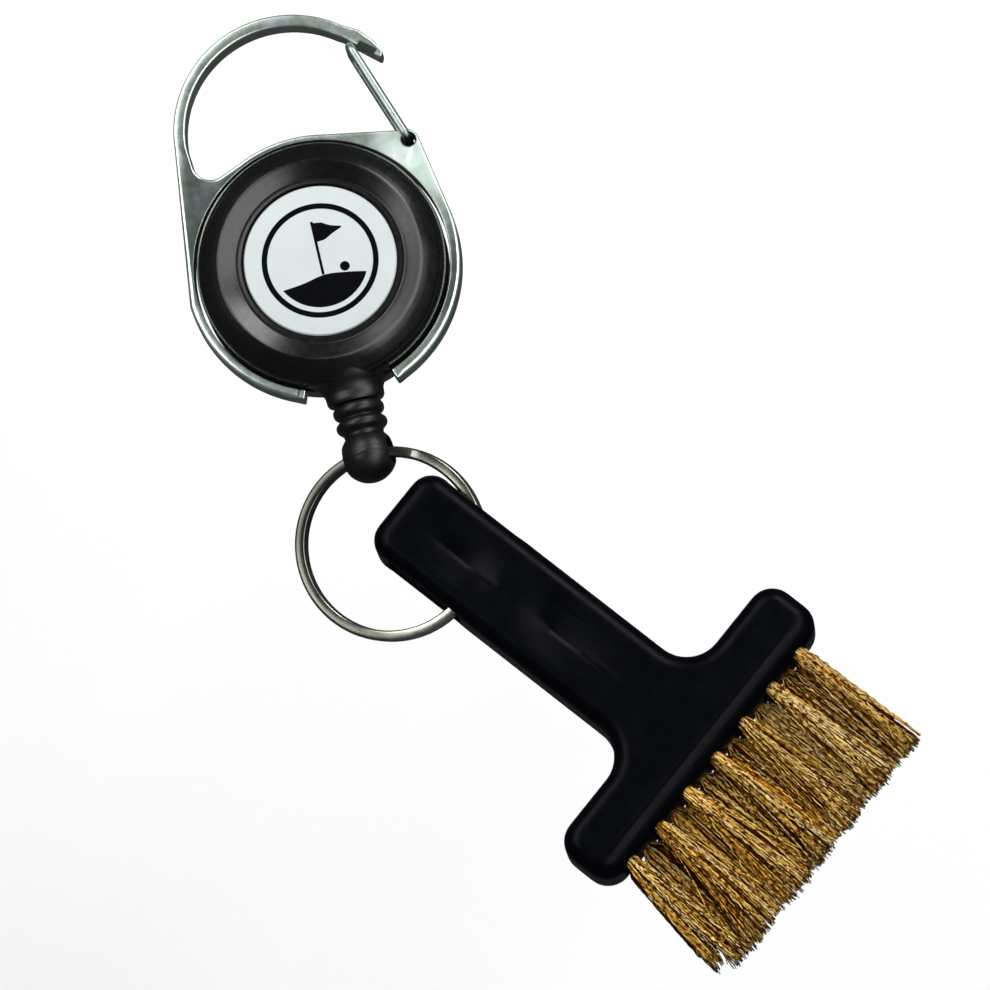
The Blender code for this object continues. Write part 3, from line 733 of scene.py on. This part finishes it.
def case_half(name, profile, waste_low, waste_high):
    """Turned shell joined with its half of the outlet, then bored for the cord. The waste is the
    outlet's other half, between two heights."""
    neck = turned("neck", outlet_profile(), 64)
    neck.transform(stand_along_y(CORD_X, PARTING_Z, NECK_SQUASH))
    inside = rod((CAVITY_R + 0.3) * 2, 40.0, 96)
    waste = block((-9, -22, waste_low), (9, -10, waste_high))
    trimmed = carve(neck, [(waste, Matrix()), (inside, Matrix())])
    shell = turned(name, profile, CASE_STEPS)
    joined = carve(shell, [(trimmed, Matrix())], 'UNION')
    bore = turned("bore", outlet_bore_profile(), 40)
    return carve(joined, [(bore, stand_along_y(CORD_X, PARTING_Z))], smooth_angle=32)


def make_case(black):
    """Two shells round the cavity. The back one has the spool's post with a slit for the spring, and
    the front one a dished face with a seat for the label."""
    top = PARTING_Z - PARTING_GAP
    edge = 1.1
    back = [(0, 8.0), (1.7, 8.0), (2.0, 7.7), (2.0, 1.0), (CAVITY_R, 1.0), (CAVITY_R, top), (NECK_R, top),
            (NECK_R, 4.3), (CASE_R - 0.15, 4.3), (CASE_R, 4.15), (CASE_R, 1.3)]
    back += arc((CASE_R - edge, edge), edge, 0.0, -90.0, 8)[1:]
    back += [(13.2, 0.0), (13.0, 0.25), (12.4, 0.25), (12.2, 0.0), (0, 0.0)]
    mesh = case_half("case_back_shell", back, top, 30.0)
    spring_slit = block((-0.3, -0.45, 2.0), (3.0, 0.45, 9.0))
    mesh = carve(mesh, [(spring_slit, Matrix())])
    piece("case_back_shell", mesh, black, "reel", ["case_back"])

    bottom = PARTING_Z + PARTING_GAP
    seat = [(0, 8.9), (9.95, 8.9), (9.98, 9.46), (10.06, 9.53), (10.3, 9.51), (10.7, 9.41)]
    dish = flowing([(10.82, 9.44), (11.15, 9.6), (11.6, 9.8), (12.2, 10.06), (12.75, 10.3),
                    (13.0, 10.385)], 4)
    shoulder = flowing([(13.12, 10.34), (13.35, 10.21), (13.8, 9.94), (14.3, 9.6), (14.85, 9.2),
                        (15.1, 8.98)], 4)
    lower = flowing([(15.16, 8.88), (15.5, 8.6), (15.8, 8.0), (15.95, 7.3), (CASE_R, 6.7)], 4)
    front = seat + dish + shoulder + lower
    front += [(CASE_R, 6.25), (CASE_R - 0.15, 6.1), (NECK_R, 6.1), (NECK_R, bottom), (CAVITY_R, bottom),
              (CAVITY_R, 7.7), (13.3, 8.35), (0, 8.35)]
    mesh = case_half("case_front_shell", front, -20.0, bottom)
    piece("case_front_shell", mesh, black, "reel", ["case_front"])


def make_label(foil, ink):
    """Silver disc with a generic golf mark: a plain ring, a pin flag, a mound and a ball."""
    low, high = LABEL_Z
    profile = [(0, high), (LABEL_R - 0.2, high)] + arc((LABEL_R - 0.2, high - 0.12), 0.12, 90, 0, 4)[1:]
    profile += [(LABEL_R, high - 0.2), (LABEL_R, low), (0, low)]
    disc = turned("label_disc_foil", profile, 128)
    piece("label_disc_foil", disc, foil, "reel", ["label_disc"])
    raised = high + 0.03
    bm = bmesh.new()
    ring = turned("ring", [(6.75, high), (6.75, raised), (7.45, raised), (7.45, high)], 128)
    mound_edge = arc((0.0, 0.0), 6.1, 207.0, 333.0, 36)
    mound = flowing([mound_edge[-1], (3.2, -2.3), (0.2, -1.95), (-2.8, -2.5), mound_edge[0]], 8)
    pennant = [(0.15, 4.95)] + flowing([(1.2, 4.8), (2.2, 4.2), (3.6, 3.75)], 6)
    pennant += flowing([(3.55, 3.6), (2.3, 3.1), (1.2, 2.55), (0.15, 2.45)], 6)
    pin = [(-0.17, -1.9), (0.17, -1.9), (0.17, 5.15), (-0.17, 5.15)]
    ball = arc((2.9, -1.45), 0.62, 0.0, 350.0, 35)
    bm.from_mesh(ring)
    for mark in (mound_edge + mound[1:-1], pennant, pin, ball):
        bm.from_mesh(flat_plate("mark", mark, high, raised))
    piece("label_motif", mesh_of("label_motif", bm, 30), ink, "reel")


# ---- cord and its end fitting

def make_cord(nylon):
    """The cord from the spool through the outlet into the fitting."""
    lift_r, mouth_at, straight_at = 12.95, 14.9, 17.0
    mouth = Vector((CORD_X, -mouth_at, PARTING_Z))
    lift = -pi / 2 + atan2(CORD_X, mouth_at) + (pi / 2 - asin(lift_r / mouth.xy.length))
    start = Vector((lift_r * cos(lift), lift_r * sin(lift), PARTING_Z))
    straight = Vector((CORD_X, -straight_at, PARTING_Z))
    path = [start.lerp(mouth, t / 6) for t in range(4)]
    for t in range(11):
        a = start.lerp(mouth, 0.6).lerp(mouth, t / 10)
        path.append(a.lerp(mouth.lerp(straight, t / 10), t / 10))
    run = CORD_END_AT - straight_at
    path += [Vector((CORD_X, -straight_at - run * t / 12, PARTING_Z)) for t in range(1, 13)]
    mesh = sweep("cord_braid", path, [circle(CORD_D / 2, 16)] * len(path))
    mesh.materials.append(nylon)
    cord = link(bpy.data.objects.new("cord_braid", mesh))
    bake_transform(cord)
    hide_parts("cord_run")


def ring_frame():
    """Place of the split ring, the ball's centre, the ring's centre and its normal."""
    ball = Vector((CORD_X, -BALL_AT, PARTING_Z))
    handle_point = Vector((10.3, -42.5, PARTING_Z))
    tilt = Matrix.Rotation(radians(RING_TILT), 4, (handle_point - ball).normalized())
    normal = tilt @ Vector((0, 0, 1))
    centre = Vector((*RING_CENTRE_XY, 0.0))
    centre.z = ball.z - (normal.xy.dot(centre.xy - ball.xy)) / normal.z
    return Matrix.Translation(centre * MM) @ tilt, ball, centre, normal


def make_fitting(black):
    """Ribbed boot with a ball end, which has a fine moulding seam and a cross hole for the ring."""
    body = flowing([(2.75, -FITTING_TOP), (3.08, -18.62), (3.28, -19.0), (3.3, -19.35), (3.18, -19.75),
                    (2.86, -20.05), (2.7, -20.25), (2.86, -20.45), (3.18, -20.75), (3.3, -21.15),
                    (3.2, -21.6), (2.85, -21.95), (2.6, -22.2), (2.55, -22.55)], 4)
    start = BALL_AT - sqrt(BALL_R ** 2 - BOOT_END_R ** 2)
    first = degrees(asin(BOOT_END_R / BALL_R))
    ball = []
    steps = 60
    for i in range(1, steps):
        polar = first + (180.0 - first) * i / steps
        r = BALL_R * (1.0 + BALL_SEAM * exp(-((polar - 90.0) / 3.0) ** 2))
        ball.append((r * sin(radians(polar)), -BALL_AT + r * cos(radians(polar))))
    profile = [(0, -24.6), (1.4, -24.6), (1.4, -21.1), (0.7, -21.1), (0.7, -18.8), (0.95, -FITTING_TOP)]
    profile += body + [(BOOT_END_R, -start)] + ball + [(0, -BALL_AT - BALL_R)]
    mesh = turned("cord_end_boot", profile, 96)
    mesh.transform(stand_along_y(CORD_X, PARTING_Z))
    _, centre, ring_centre, normal = ring_frame()
    across = normal.cross((centre - ring_centre).normalized())
    aim = Matrix.Translation(centre * MM) @ across.to_track_quat('Z', 'Y').to_matrix().to_4x4()
    hole = rod(CROSS_HOLE_D, 12.0, 48)
    mesh = carve(mesh, [(hole, aim)])
    piece("cord_end_boot", mesh, black, "fitting", ["cord_end_fitting"])


def make_ring(nickel):
    """Flattened wire wound twice round, with cut ends and a jog from one coil to the other."""
    end_gap = 2.0
    sweep_angle = 720.0 - JOG_SPAN - 2 * end_gap
    jog_from, jog_to = 360.0 - JOG_SPAN - end_gap, 360.0 - end_gap
    steps = 300
    path, sections = [], []
    w, h = RING_WIRE[0] / 2, RING_WIRE[1] / 2
    soft = RING_WIRE_CORNER_R
    corners = ((w - soft, h - soft, 0.0), (soft - w, h - soft, 90.0), (soft - w, soft - h, 180.0),
               (w - soft, soft - h, 270.0))
    outline = [p for x, y, a in corners for p in arc((x, y), soft, a, a + 90.0, 4)]
    for i in range(steps + 1):
        swept = sweep_angle * i / steps
        t = min(1.0, max(0.0, (swept - jog_from) / (jog_to - jog_from)))
        height = RING_PITCH * (0.5 - t * t * (3 - 2 * t))
        a = radians(RING_START - swept)
        path.append((RING_R * cos(a), RING_R * sin(a), height))
        from_end = min(i, steps - i)
        taper = (0.86, 0.96, 1.0)[min(from_end, 2)]
        sections.append([(across * taper, up * taper) for across, up in outline])
    mesh = sweep("split_ring_coil", path, sections, upward=Vector((0, 0, 1)), smooth_angle=60)
    piece("split_ring_coil", mesh, nickel, "ring", ["split_ring"], ring_frame()[0])


# ---- brush

def brush_place():
    """Place of the brush's own frame."""
    return shift(*BRUSH_ORIGIN) @ Matrix.Rotation(radians(BRUSH_ANGLE), 4, 'Z')


def handle_outline():
    """The T from the front, as (u, v) points."""
    w, r, f, c = HANDLE_HALF_W, HANDLE_CORNER_R, NECK_FILLET_R, HEAD_CORNER_R
    half = arc((r, w - r), r, 180.0, 90.0, 14)
    half += [(r + (HEAD_BACK_U - f - r) * i / 16, w) for i in range(1, 16)]
    half += arc((HEAD_BACK_U - f, w + f), f, -90.0, 0.0, 20)
    half += arc((HEAD_BACK_U + c, HEAD_HALF_V - c), c, 180.0, 90.0, 14)
    half += arc((HEAD_FRONT_U - c, HEAD_HALF_V - c), c, 90.0, 0.0, 14)
    return half + [(u, -v) for u, v in reversed(half)]


def unit(x):
    return np.clip(x, 0.0, 1.0)


def ramped(x, low, high):
    """Smooth step from 0 at low to 1 at high."""
    t = unit((x - low) / (high - low))
    return t * t * (3 - 2 * t)


def between(x, rise_from, rise_to, fall_from, fall_to):
    """1 between two smooth slopes, 0 outside them."""
    return ramped(x, rise_from, rise_to) * (1 - ramped(x, fall_from, fall_to))


def line(x, middle, width):
    """A narrow bell across a line."""
    return np.exp(-((x - middle) / width) ** 2)


def handle_relief(u, v):
    """Change of height in mm: two grip troughs with a crease and a border line, the ridge above the
    bristles, and the fall to the edge in front of it."""
    trough_1 = between(u, 3.5, 11.5, 12.0, 17.6) * unit(1 - np.abs(v + 0.4) / 4.1)
    trough_2 = between(u, 19.5, 26.0, 25.5, 38.5) * unit(1 - np.abs(v + 0.4) / 4.4)
    creased = between(u, 5.0, 9.0, 16.3, 17.3) + between(u, 23.5, 26.0, 34.5, 39.0)
    crease = line(v, -0.45, 0.26) * creased
    border = line(v, 2.9 + (u - 20.0) * 0.045, 0.35) * between(u, 19.5, 23.0, 30.0, 36.0)
    ridge = line(u, 49.3, 0.4) * (1 - ramped(np.abs(v), 15.5, 18.5))
    fall = ramped(u, 49.0, 52.2) * 0.5
    return -0.9 * trough_1 - 1.05 * trough_2 - 0.12 * crease + 0.15 * border + 0.12 * ridge - fall


def slot_outline():
    """The ring's slot from the handle's side, as (u, z) points."""
    (u0, u1), (z0, z1), r = SLOT_U, SLOT_Z, SLOT_CORNER_R
    outline = arc((u1 - r, z0 + r), r, -90.0, 0.0, 6) + arc((u1 - r, z1 - r), r, 0.0, 90.0, 6)
    return outline + arc((u0 + r, z1 - r), r, 90.0, 180.0, 6) + arc((u0 + r, z0 + r), r, 180.0, 270.0, 6)


def tuft_places():
    """(v, z, row) of every tuft, row by row from the front face."""
    places = []
    for row, (z, count) in enumerate(TUFT_ROWS):
        first = TUFT_V0 - TUFT_PITCH * (count - 1) / 2
        places += [(first + TUFT_PITCH * i, z, row) for i in range(count)]
    return places


def press_relief(mesh):
    """Moves the front and, mirrored, the back by the relief, but not the slot's walls."""
    co = np.empty(len(mesh.vertices) * 3)
    mesh.vertices.foreach_get("co", co)
    co = co.reshape(-1, 3) / MM
    u, v, z = co[:, 0], co[:, 1], co[:, 2]
    middle = HANDLE_T / 2
    share = unit(np.abs(z - middle) / middle) ** 3
    by_slot = (u > SLOT_U[0] - 0.5) & (u < SLOT_U[1] + 0.5)
    by_slot &= (np.abs(z - sum(SLOT_Z) / 2) < 2.9) & (np.abs(v) < 6.0)
    share[by_slot] = 0.0
    co[:, 2] = np.maximum(z + np.sign(z - middle) * share * handle_relief(u, v), 0.0)
    mesh.vertices.foreach_set("co", (co * MM).ravel())
    mesh.update()


def make_handle(navy):
    """Moulded handle: a soft-edged T, remeshed so that the grip's relief can be pressed into it."""
    solid = rounded_plate("brush_handle_moulded", handle_outline(), 0.0, HANDLE_T,
                          lambda u, v: HANDLE_EDGE_R, 8)
    slot = flat_plate("slot", slot_outline(), -12.0, 12.0)
    mouth = flat_plate("mouth", slot_outline(), -1.0, 1.0)
    flare = Matrix.Diagonal((1.08, 1.16, 1.0, 1.0))
    on_side = Matrix.Rotation(pi / 2, 4, 'X')
    tools = [(slot, on_side)]
    for side in (-1.0, 1.0):
        middle = ((SLOT_U[0] + SLOT_U[1]) / 2, side * (HANDLE_HALF_W + 0.62), (SLOT_Z[0] + SLOT_Z[1]) / 2)
        local = shift(-middle[0], -middle[2])
        tools.append((mouth.copy(), shift(*middle) @ on_side @ flare @ local))
    bpy.data.meshes.remove(mouth)
    work = link(bpy.data.objects.new("work", carve(solid, tools)))
    remesh = work.modifiers.new("remesh", 'REMESH')
    remesh.mode = 'VOXEL'
    remesh.voxel_size = 0.34 * MM
    smooth = work.modifiers.new("smooth", 'SMOOTH')
    smooth.factor = 0.5
    smooth.iterations = 4
    mesh = evaluated(work)
    press_relief(mesh)
    bm = bmesh.new()
    for v_at, z_at, _ in tuft_places():
        middle_u = HEAD_FRONT_U - TUFT_HOLE_DEPTH + TUFT_HOLE_LENGTH / 2
        drill = rod(TUFT_HOLE_D, TUFT_HOLE_LENGTH, 24)
        drill.transform(shift(middle_u, v_at, z_at) @ Matrix.Rotation(pi / 2, 4, 'Y'))
        bm.from_mesh(drill)
    mesh = carve(mesh, [(mesh_of("holes", bm), Matrix())], smooth_angle=40)
    piece("brush_handle_moulded", mesh, navy, "brush", ["brush_handle"], brush_place())


def tube_faces(steps, sides):
    """Walls and both ends of one tube, as corner numbers into its rings."""
    i, k = np.meshgrid(np.arange(steps), np.arange(sides), indexing='ij')
    k_next = (k + 1) % sides
    walls = np.stack([i * sides + k, i * sides + k_next, (i + 1) * sides + k_next,
                      (i + 1) * sides + k], -1).reshape(-1, 4)
    return walls, steps * sides + np.arange(sides), np.arange(sides)[::-1]


class Tuft:
    """One bundle of crimped wires that fan out from its hole, round a core that stands for the packed wires
    inside, coloured near black as painted shade. Points are in mm: u from the head's face, v and z from the
    hole's centre."""

    WIRES, STEPS, SIDES, RADIUS = 84, 76, 4, 0.076
    CORE_STEPS, CORE_SIDES = 14, 12
    CORE_REACH, CORE_WIDTH, CORE_HEIGHT = 0.8, 0.72, 0.45
    # Painted shade: the core's near-black tone.
    CORE_SHADE_TONE = 0.1
    TIP_SPREAD, TIP_DEPTH = 2.5, 1.3
    TOP_EDGE, LOW_EDGE = 1.15, -1.15

    def __init__(self, draw, v_at, row):
        all_v = [v for v, _, _ in tuft_places()]
        self.draw = draw
        self.row = row
        self.topmost = (v_at == max(all_v))
        self.lowest = (v_at == min(all_v))
        self.lean = TUFT_FAN * (v_at - max(all_v)) + draw.normal(0.0, 0.6)
        if self.topmost:
            self.lean = draw.normal(0.0, 0.1)
        self.spread = draw.uniform(0.65, 1.35)
        self.rise = (0.0, 1.3, 0.8)[row] + draw.normal(0.0, 0.2)
        self.flare, self.flare_within = ((0.18, 1.6), (1.2, 1.1), (1.6, 1.4))[row]
        self.opening = draw.uniform(0.95, 1.7)
        self.phase = draw.uniform(0, WHOLE_TURN)
        self.wave = draw.uniform(1.05, 1.4)
        self.plane = draw.uniform(0.3, 1.5)

    def wire(self):
        """Corners of one wire, ring by ring, with its tone and painted shade, and how dull it is at each
        ring.
        """
        draw = self.draw
        angle, reach = draw.uniform(0, WHOLE_TURN), sqrt(draw.uniform(0, 1))
        root = np.array([cos(angle), sin(angle)]) * reach * TUFT_ROOT_R
        wild = draw.uniform() < 0.16
        tip_v = cos(angle) * reach * self.TIP_SPREAD * self.spread + self.lean
        tip_v += draw.normal(0.0, 1.5 if wild else 0.4)
        tip_z = sin(angle) * reach * self.TIP_DEPTH + self.rise + (0.35 if wild else 0.0)
        tip_z += draw.normal(0.0, 0.12)
        if self.topmost:
            tip_v = min(tip_v, self.TOP_EDGE + draw.uniform(0, 0.15))
        if self.lowest:
            tip_v = max(tip_v, -3.9)
        length = BRISTLE_LENGTH + draw.normal(0.0, 0.22)
        if wild:
            length -= abs(draw.normal(0.0, 1.4))
        if self.lowest and tip_v < -2.2:
            length -= 1.6 + 1.1 * draw.uniform()

        u = -TUFT_DEPTH + (length + TUFT_DEPTH) * np.linspace(0.0, 1.0, self.STEPS + 1)
        share = unit(u / length)
        open_out = share ** (self.opening + draw.normal(0.0, 0.08))
        flare = unit(u / self.flare_within)
        bow = draw.normal(0.0, 0.4 if wild else 0.12) * np.sin(pi * share)
        path_v = root[0] * (1 + self.flare * flare) * (1 - open_out) + tip_v * open_out + bow
        if self.topmost:
            path_v = np.minimum(path_v, self.TOP_EDGE)
        if self.lowest:
            path_v = np.maximum(path_v, self.LOW_EDGE - 0.2 * np.clip(u, 0.0, None))
        bow = (0.3 if wild else draw.normal(0.0, 0.1)) * np.sin(pi * share)
        path_z = root[1] * (1 + 0.12 * flare) * (1 - open_out) + tip_z * open_out + bow
        wave = self.wave * (1.4 if wild else 1.0) * draw.normal(1.0, 0.05)
        phase, plane = self.phase + draw.normal(0.0, 0.7), self.plane + draw.normal(0.0, 0.4)
        crimp = draw.uniform(0.06, 0.1) if wild else draw.uniform(0.02, 0.06)
        crimp = crimp * np.sin(2 * pi * u / wave + phase) * np.clip(u / 0.8, 0.2, 1.0)
        path = np.stack([u, path_v + crimp * cos(plane), path_z + crimp * sin(plane)], 1)

        along = np.gradient(path, axis=0)
        along /= np.linalg.norm(along, axis=1)[:, None]
        across = np.cross(along, (0.0, 0.0, 1.0))
        across /= np.linalg.norm(across, axis=1)[:, None]
        upward = np.cross(across, along)
        thick = self.RADIUS * draw.uniform(0.85, 1.12)
        turn = WHOLE_TURN * np.arange(self.SIDES) / self.SIDES + draw.uniform(0, WHOLE_TURN)
        ring = across[:, None] * np.cos(turn)[None, :, None] + upward[:, None] * np.sin(turn)[None, :, None]

        # Painted shade: wires lower in the bundle and tufts in the back rows get darker tones.
        buried_shade = (1.0 - sin(angle) * reach) / 2
        tone_and_shade = unit(draw.normal((0.9, 0.82, 0.4)[self.row] - 1.1 * buried_shade, 0.26))
        if wild and self.row < 2:
            tone_and_shade = draw.uniform(0.7, 1.0)
        dull = unit(draw.normal(0.06, 0.1)) + unit((u / length - 0.84) / 0.3) * 0.6
        return path[:, None] + ring * thick, tone_and_shade, unit(dull)

    def core(self):
        """Corners of the core, ring by ring."""
        u = np.linspace(-TUFT_DEPTH, self.CORE_REACH * BRISTLE_LENGTH, self.CORE_STEPS + 1)[:, None]
        open_out = unit(u / BRISTLE_LENGTH) ** self.opening
        flare = self.flare * unit(u / self.flare_within)
        wide = TUFT_ROOT_R * (1 + flare) * (1 - open_out) + self.TIP_SPREAD * self.spread * open_out
        high = TUFT_ROOT_R * (1 - open_out) + self.TIP_DEPTH * open_out
        turn = WHOLE_TURN * np.arange(self.CORE_SIDES) / self.CORE_SIDES
        v = self.lean * open_out + self.CORE_WIDTH * wide * np.cos(turn)
        z = self.rise * open_out + self.CORE_HEIGHT * high * np.sin(turn)
        if self.topmost:
            v = np.minimum(v, 0.95)
        if self.lowest:
            v = np.maximum(v, -0.95 - 0.18 * np.clip(u, 0.0, None))
        return np.stack([np.broadcast_to(u, v.shape), v, z], -1)


def make_tufts(brass):
    """Every tuft as one piece. Each wire's tone with its painted shade, and its dullness, go into the mesh
    for the finish.
    """
    draw = np.random.default_rng(11)
    per_wire = (Tuft.STEPS + 1) * Tuft.SIDES
    walls, tip, root = tube_faces(Tuft.STEPS, Tuft.SIDES)
    first = np.arange(Tuft.WIRES)[:, None] * per_wire
    walls = (first[..., None] + walls).reshape(-1, 4)
    core_faces = tube_faces(Tuft.CORE_STEPS, Tuft.CORE_SIDES)
    core_walls, core_tip, core_root = [face + Tuft.WIRES * per_wire for face in core_faces]
    faces = walls.tolist() + (first + tip).tolist() + (first + root).tolist()
    faces += core_walls.tolist() + [core_root.tolist(), core_tip.tolist()]
    for number, (v_at, z_at, row) in enumerate(tuft_places(), start=1):
        tuft = Tuft(draw, v_at, row)
        corners, tones_and_shade, dulls = [], [], []
        for _ in range(Tuft.WIRES):
            wire, tone_and_shade, dull = tuft.wire()
            corners.append(wire.reshape(-1, 3))
            tones_and_shade.append(np.full(per_wire, tone_and_shade))
            dulls.append(np.repeat(dull, Tuft.SIDES))
        core = tuft.core().reshape(-1, 3)
        corners.append(core)
        tones_and_shade.append(np.full(len(core), Tuft.CORE_SHADE_TONE))
        dulls.append(np.zeros(len(core)))
        co = np.concatenate(corners) + (HEAD_FRONT_U, v_at, z_at)
        co[:, 2] = np.clip(co[:, 2], 0.12, HANDLE_T + 0.1)
        mesh = bpy.data.meshes.new(f"bristle_wires_{number:02d}")
        mesh.from_pydata((co * MM).tolist(), [], faces)
        for name, values in (("tone_and_shade", tones_and_shade), ("dull", dulls)):
            attribute = mesh.attributes.new(name, 'FLOAT', 'POINT')
            attribute.data.foreach_set("value", np.concatenate(values))
        mesh.update()
        mesh.shade_smooth()
        piece(f"bristle_wires_{number:02d}", mesh, brass, "brush", [f"bristle_tuft_{number:02d}"],
              brush_place())


# ---- stage, light and camera

def make_stage():
    """The floor is far enough below for the brush to swing on its ring without reaching it."""
    far = 2500
    outline = [(-far, -far), (far, -far), (far, far), (-far, far)]
    floor_mesh = flat_plate("floor", outline, FLOOR_Z - 20.0, FLOOR_Z)
    f = Finish("floor_pale", (0.96, 0.96, 0.955), 0.7, Specular_IOR_Level=0.2)
    f.clouded(f.noise(60.0), 0.3, (0.955, 0.955, 0.95), 0.7, (0.97, 0.97, 0.97))
    floor_mesh.materials.append(f.material)
    floor = link(bpy.data.objects.new("floor", floor_mesh))
    floor.visible_glossy = False


def facing(right, up, back, middle, distance):
    """Place at a distance in mm behind the middle, looking back at it."""
    rotation = Matrix((right, up, back)).transposed().to_4x4()
    return Matrix.Translation((middle + back * distance) * MM) @ rotation


def softbox(name, direction, distance, size, power):
    """Rectangular area light at distance mm in a direction from the object's middle, facing it. The
    size's first side is turned 30 degrees from the X axis."""
    light = bpy.data.lights.new(name, 'AREA')
    light.shape = 'RECTANGLE'
    light.size, light.size_y = size[0] * MM, size[1] * MM
    light.energy = power
    lamp = link(bpy.data.objects.new(name, light))
    back = Vector(direction).normalized()
    side = Vector((0.866, -0.5, 0.0))
    right = (side - back * back.dot(side)).normalized()
    lamp.matrix_world = facing(right, back.cross(right), back, Vector(MIDDLE), distance)


def make_lights():
    """Two tall boxes with a dim gap between them, and a strip from the right for the bristles. The
    world is dim for the object and pale for the camera."""
    softbox("left_box", (-0.53, 0.49, 0.84), 640, (340, 760), 3.1)
    softbox("right_box", (0.51, -0.18, 0.84), 640, (340, 760), 3.1)
    softbox("side_strip", (0.52, 0.63, 0.62), 700, (260, 300), 2.0)
    world = bpy.data.worlds.new("studio")
    world.use_nodes = True
    bpy.context.scene.world = world
    nodes, links = world.node_tree.nodes, world.node_tree.links
    mix = nodes.new('ShaderNodeMix')
    mix.data_type = 'RGBA'
    mix.inputs[MIX_A].default_value = (0.07, 0.072, 0.074, 1.0)
    mix.inputs[MIX_B].default_value = (0.93, 0.93, 0.93, 1.0)
    links.new(nodes.new('ShaderNodeLightPath').outputs["Is Camera Ray"], mix.inputs[MIX_FACTOR])
    links.new(mix.outputs[MIX_RESULT], nodes["Background"].inputs["Color"])


def make_camera():
    """A long lens, 12 degrees off the vertical towards the cord outlet, turned 13 degrees."""
    roll, lean = radians(13.0), radians(12.0)
    right, up = Vector((cos(roll), -sin(roll), 0.0)), Vector((sin(roll), cos(roll), 0.0))
    back = (sin(lean) * (0.3 * right - 0.954 * up) + Vector((0.0, 0.0, cos(lean)))).normalized()
    up = (up - back * back.dot(up)).normalized()
    data = bpy.data.cameras.new("camera")
    data.sensor_width = 36.0
    data.lens = 287.46
    data.clip_start, data.clip_end = 0.05, 10.0
    camera = link(bpy.data.objects.new("camera", data))
    target = Vector((14.696, -33.971, PARTING_Z))
    camera.matrix_world = facing(up.cross(back), up, back, target, 1000.0)
    bpy.context.scene.camera = camera
    bpy.context.scene.view_settings.view_transform = 'Standard'


def finish_hidden_nodes(nylon, brass_flat):
    """The CAD nodes that stay get a material of their own."""
    white = inner_plastic()
    finishes = {"spool": white, "spring_cover": white, "mainspring": spring_strip(),
                "cord_winding": nylon, "cord_knot": nylon}
    for number in range(1, len(tuft_places()) + 1):
        finishes[f"tuft_anchor_{number:02d}"] = brass_flat
    for name, material in finishes.items():
        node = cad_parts[name]
        node.data.materials.clear()
        node.data.materials.append(material)


zinc, black = plated_zinc(), case_plastic()
nylon = braided_nylon()
make_frame(zinc)
make_gate(drawn_wire())
make_case(black)
make_label(label_foil(), label_ink())
make_cord(nylon)
make_fitting(boot_rubber())
make_ring(ring_nickel())
make_handle(handle_plastic())
make_tufts(brass_wire())
finish_hidden_nodes(nylon, brass_plate())
make_stage()
make_lights()
make_camera()
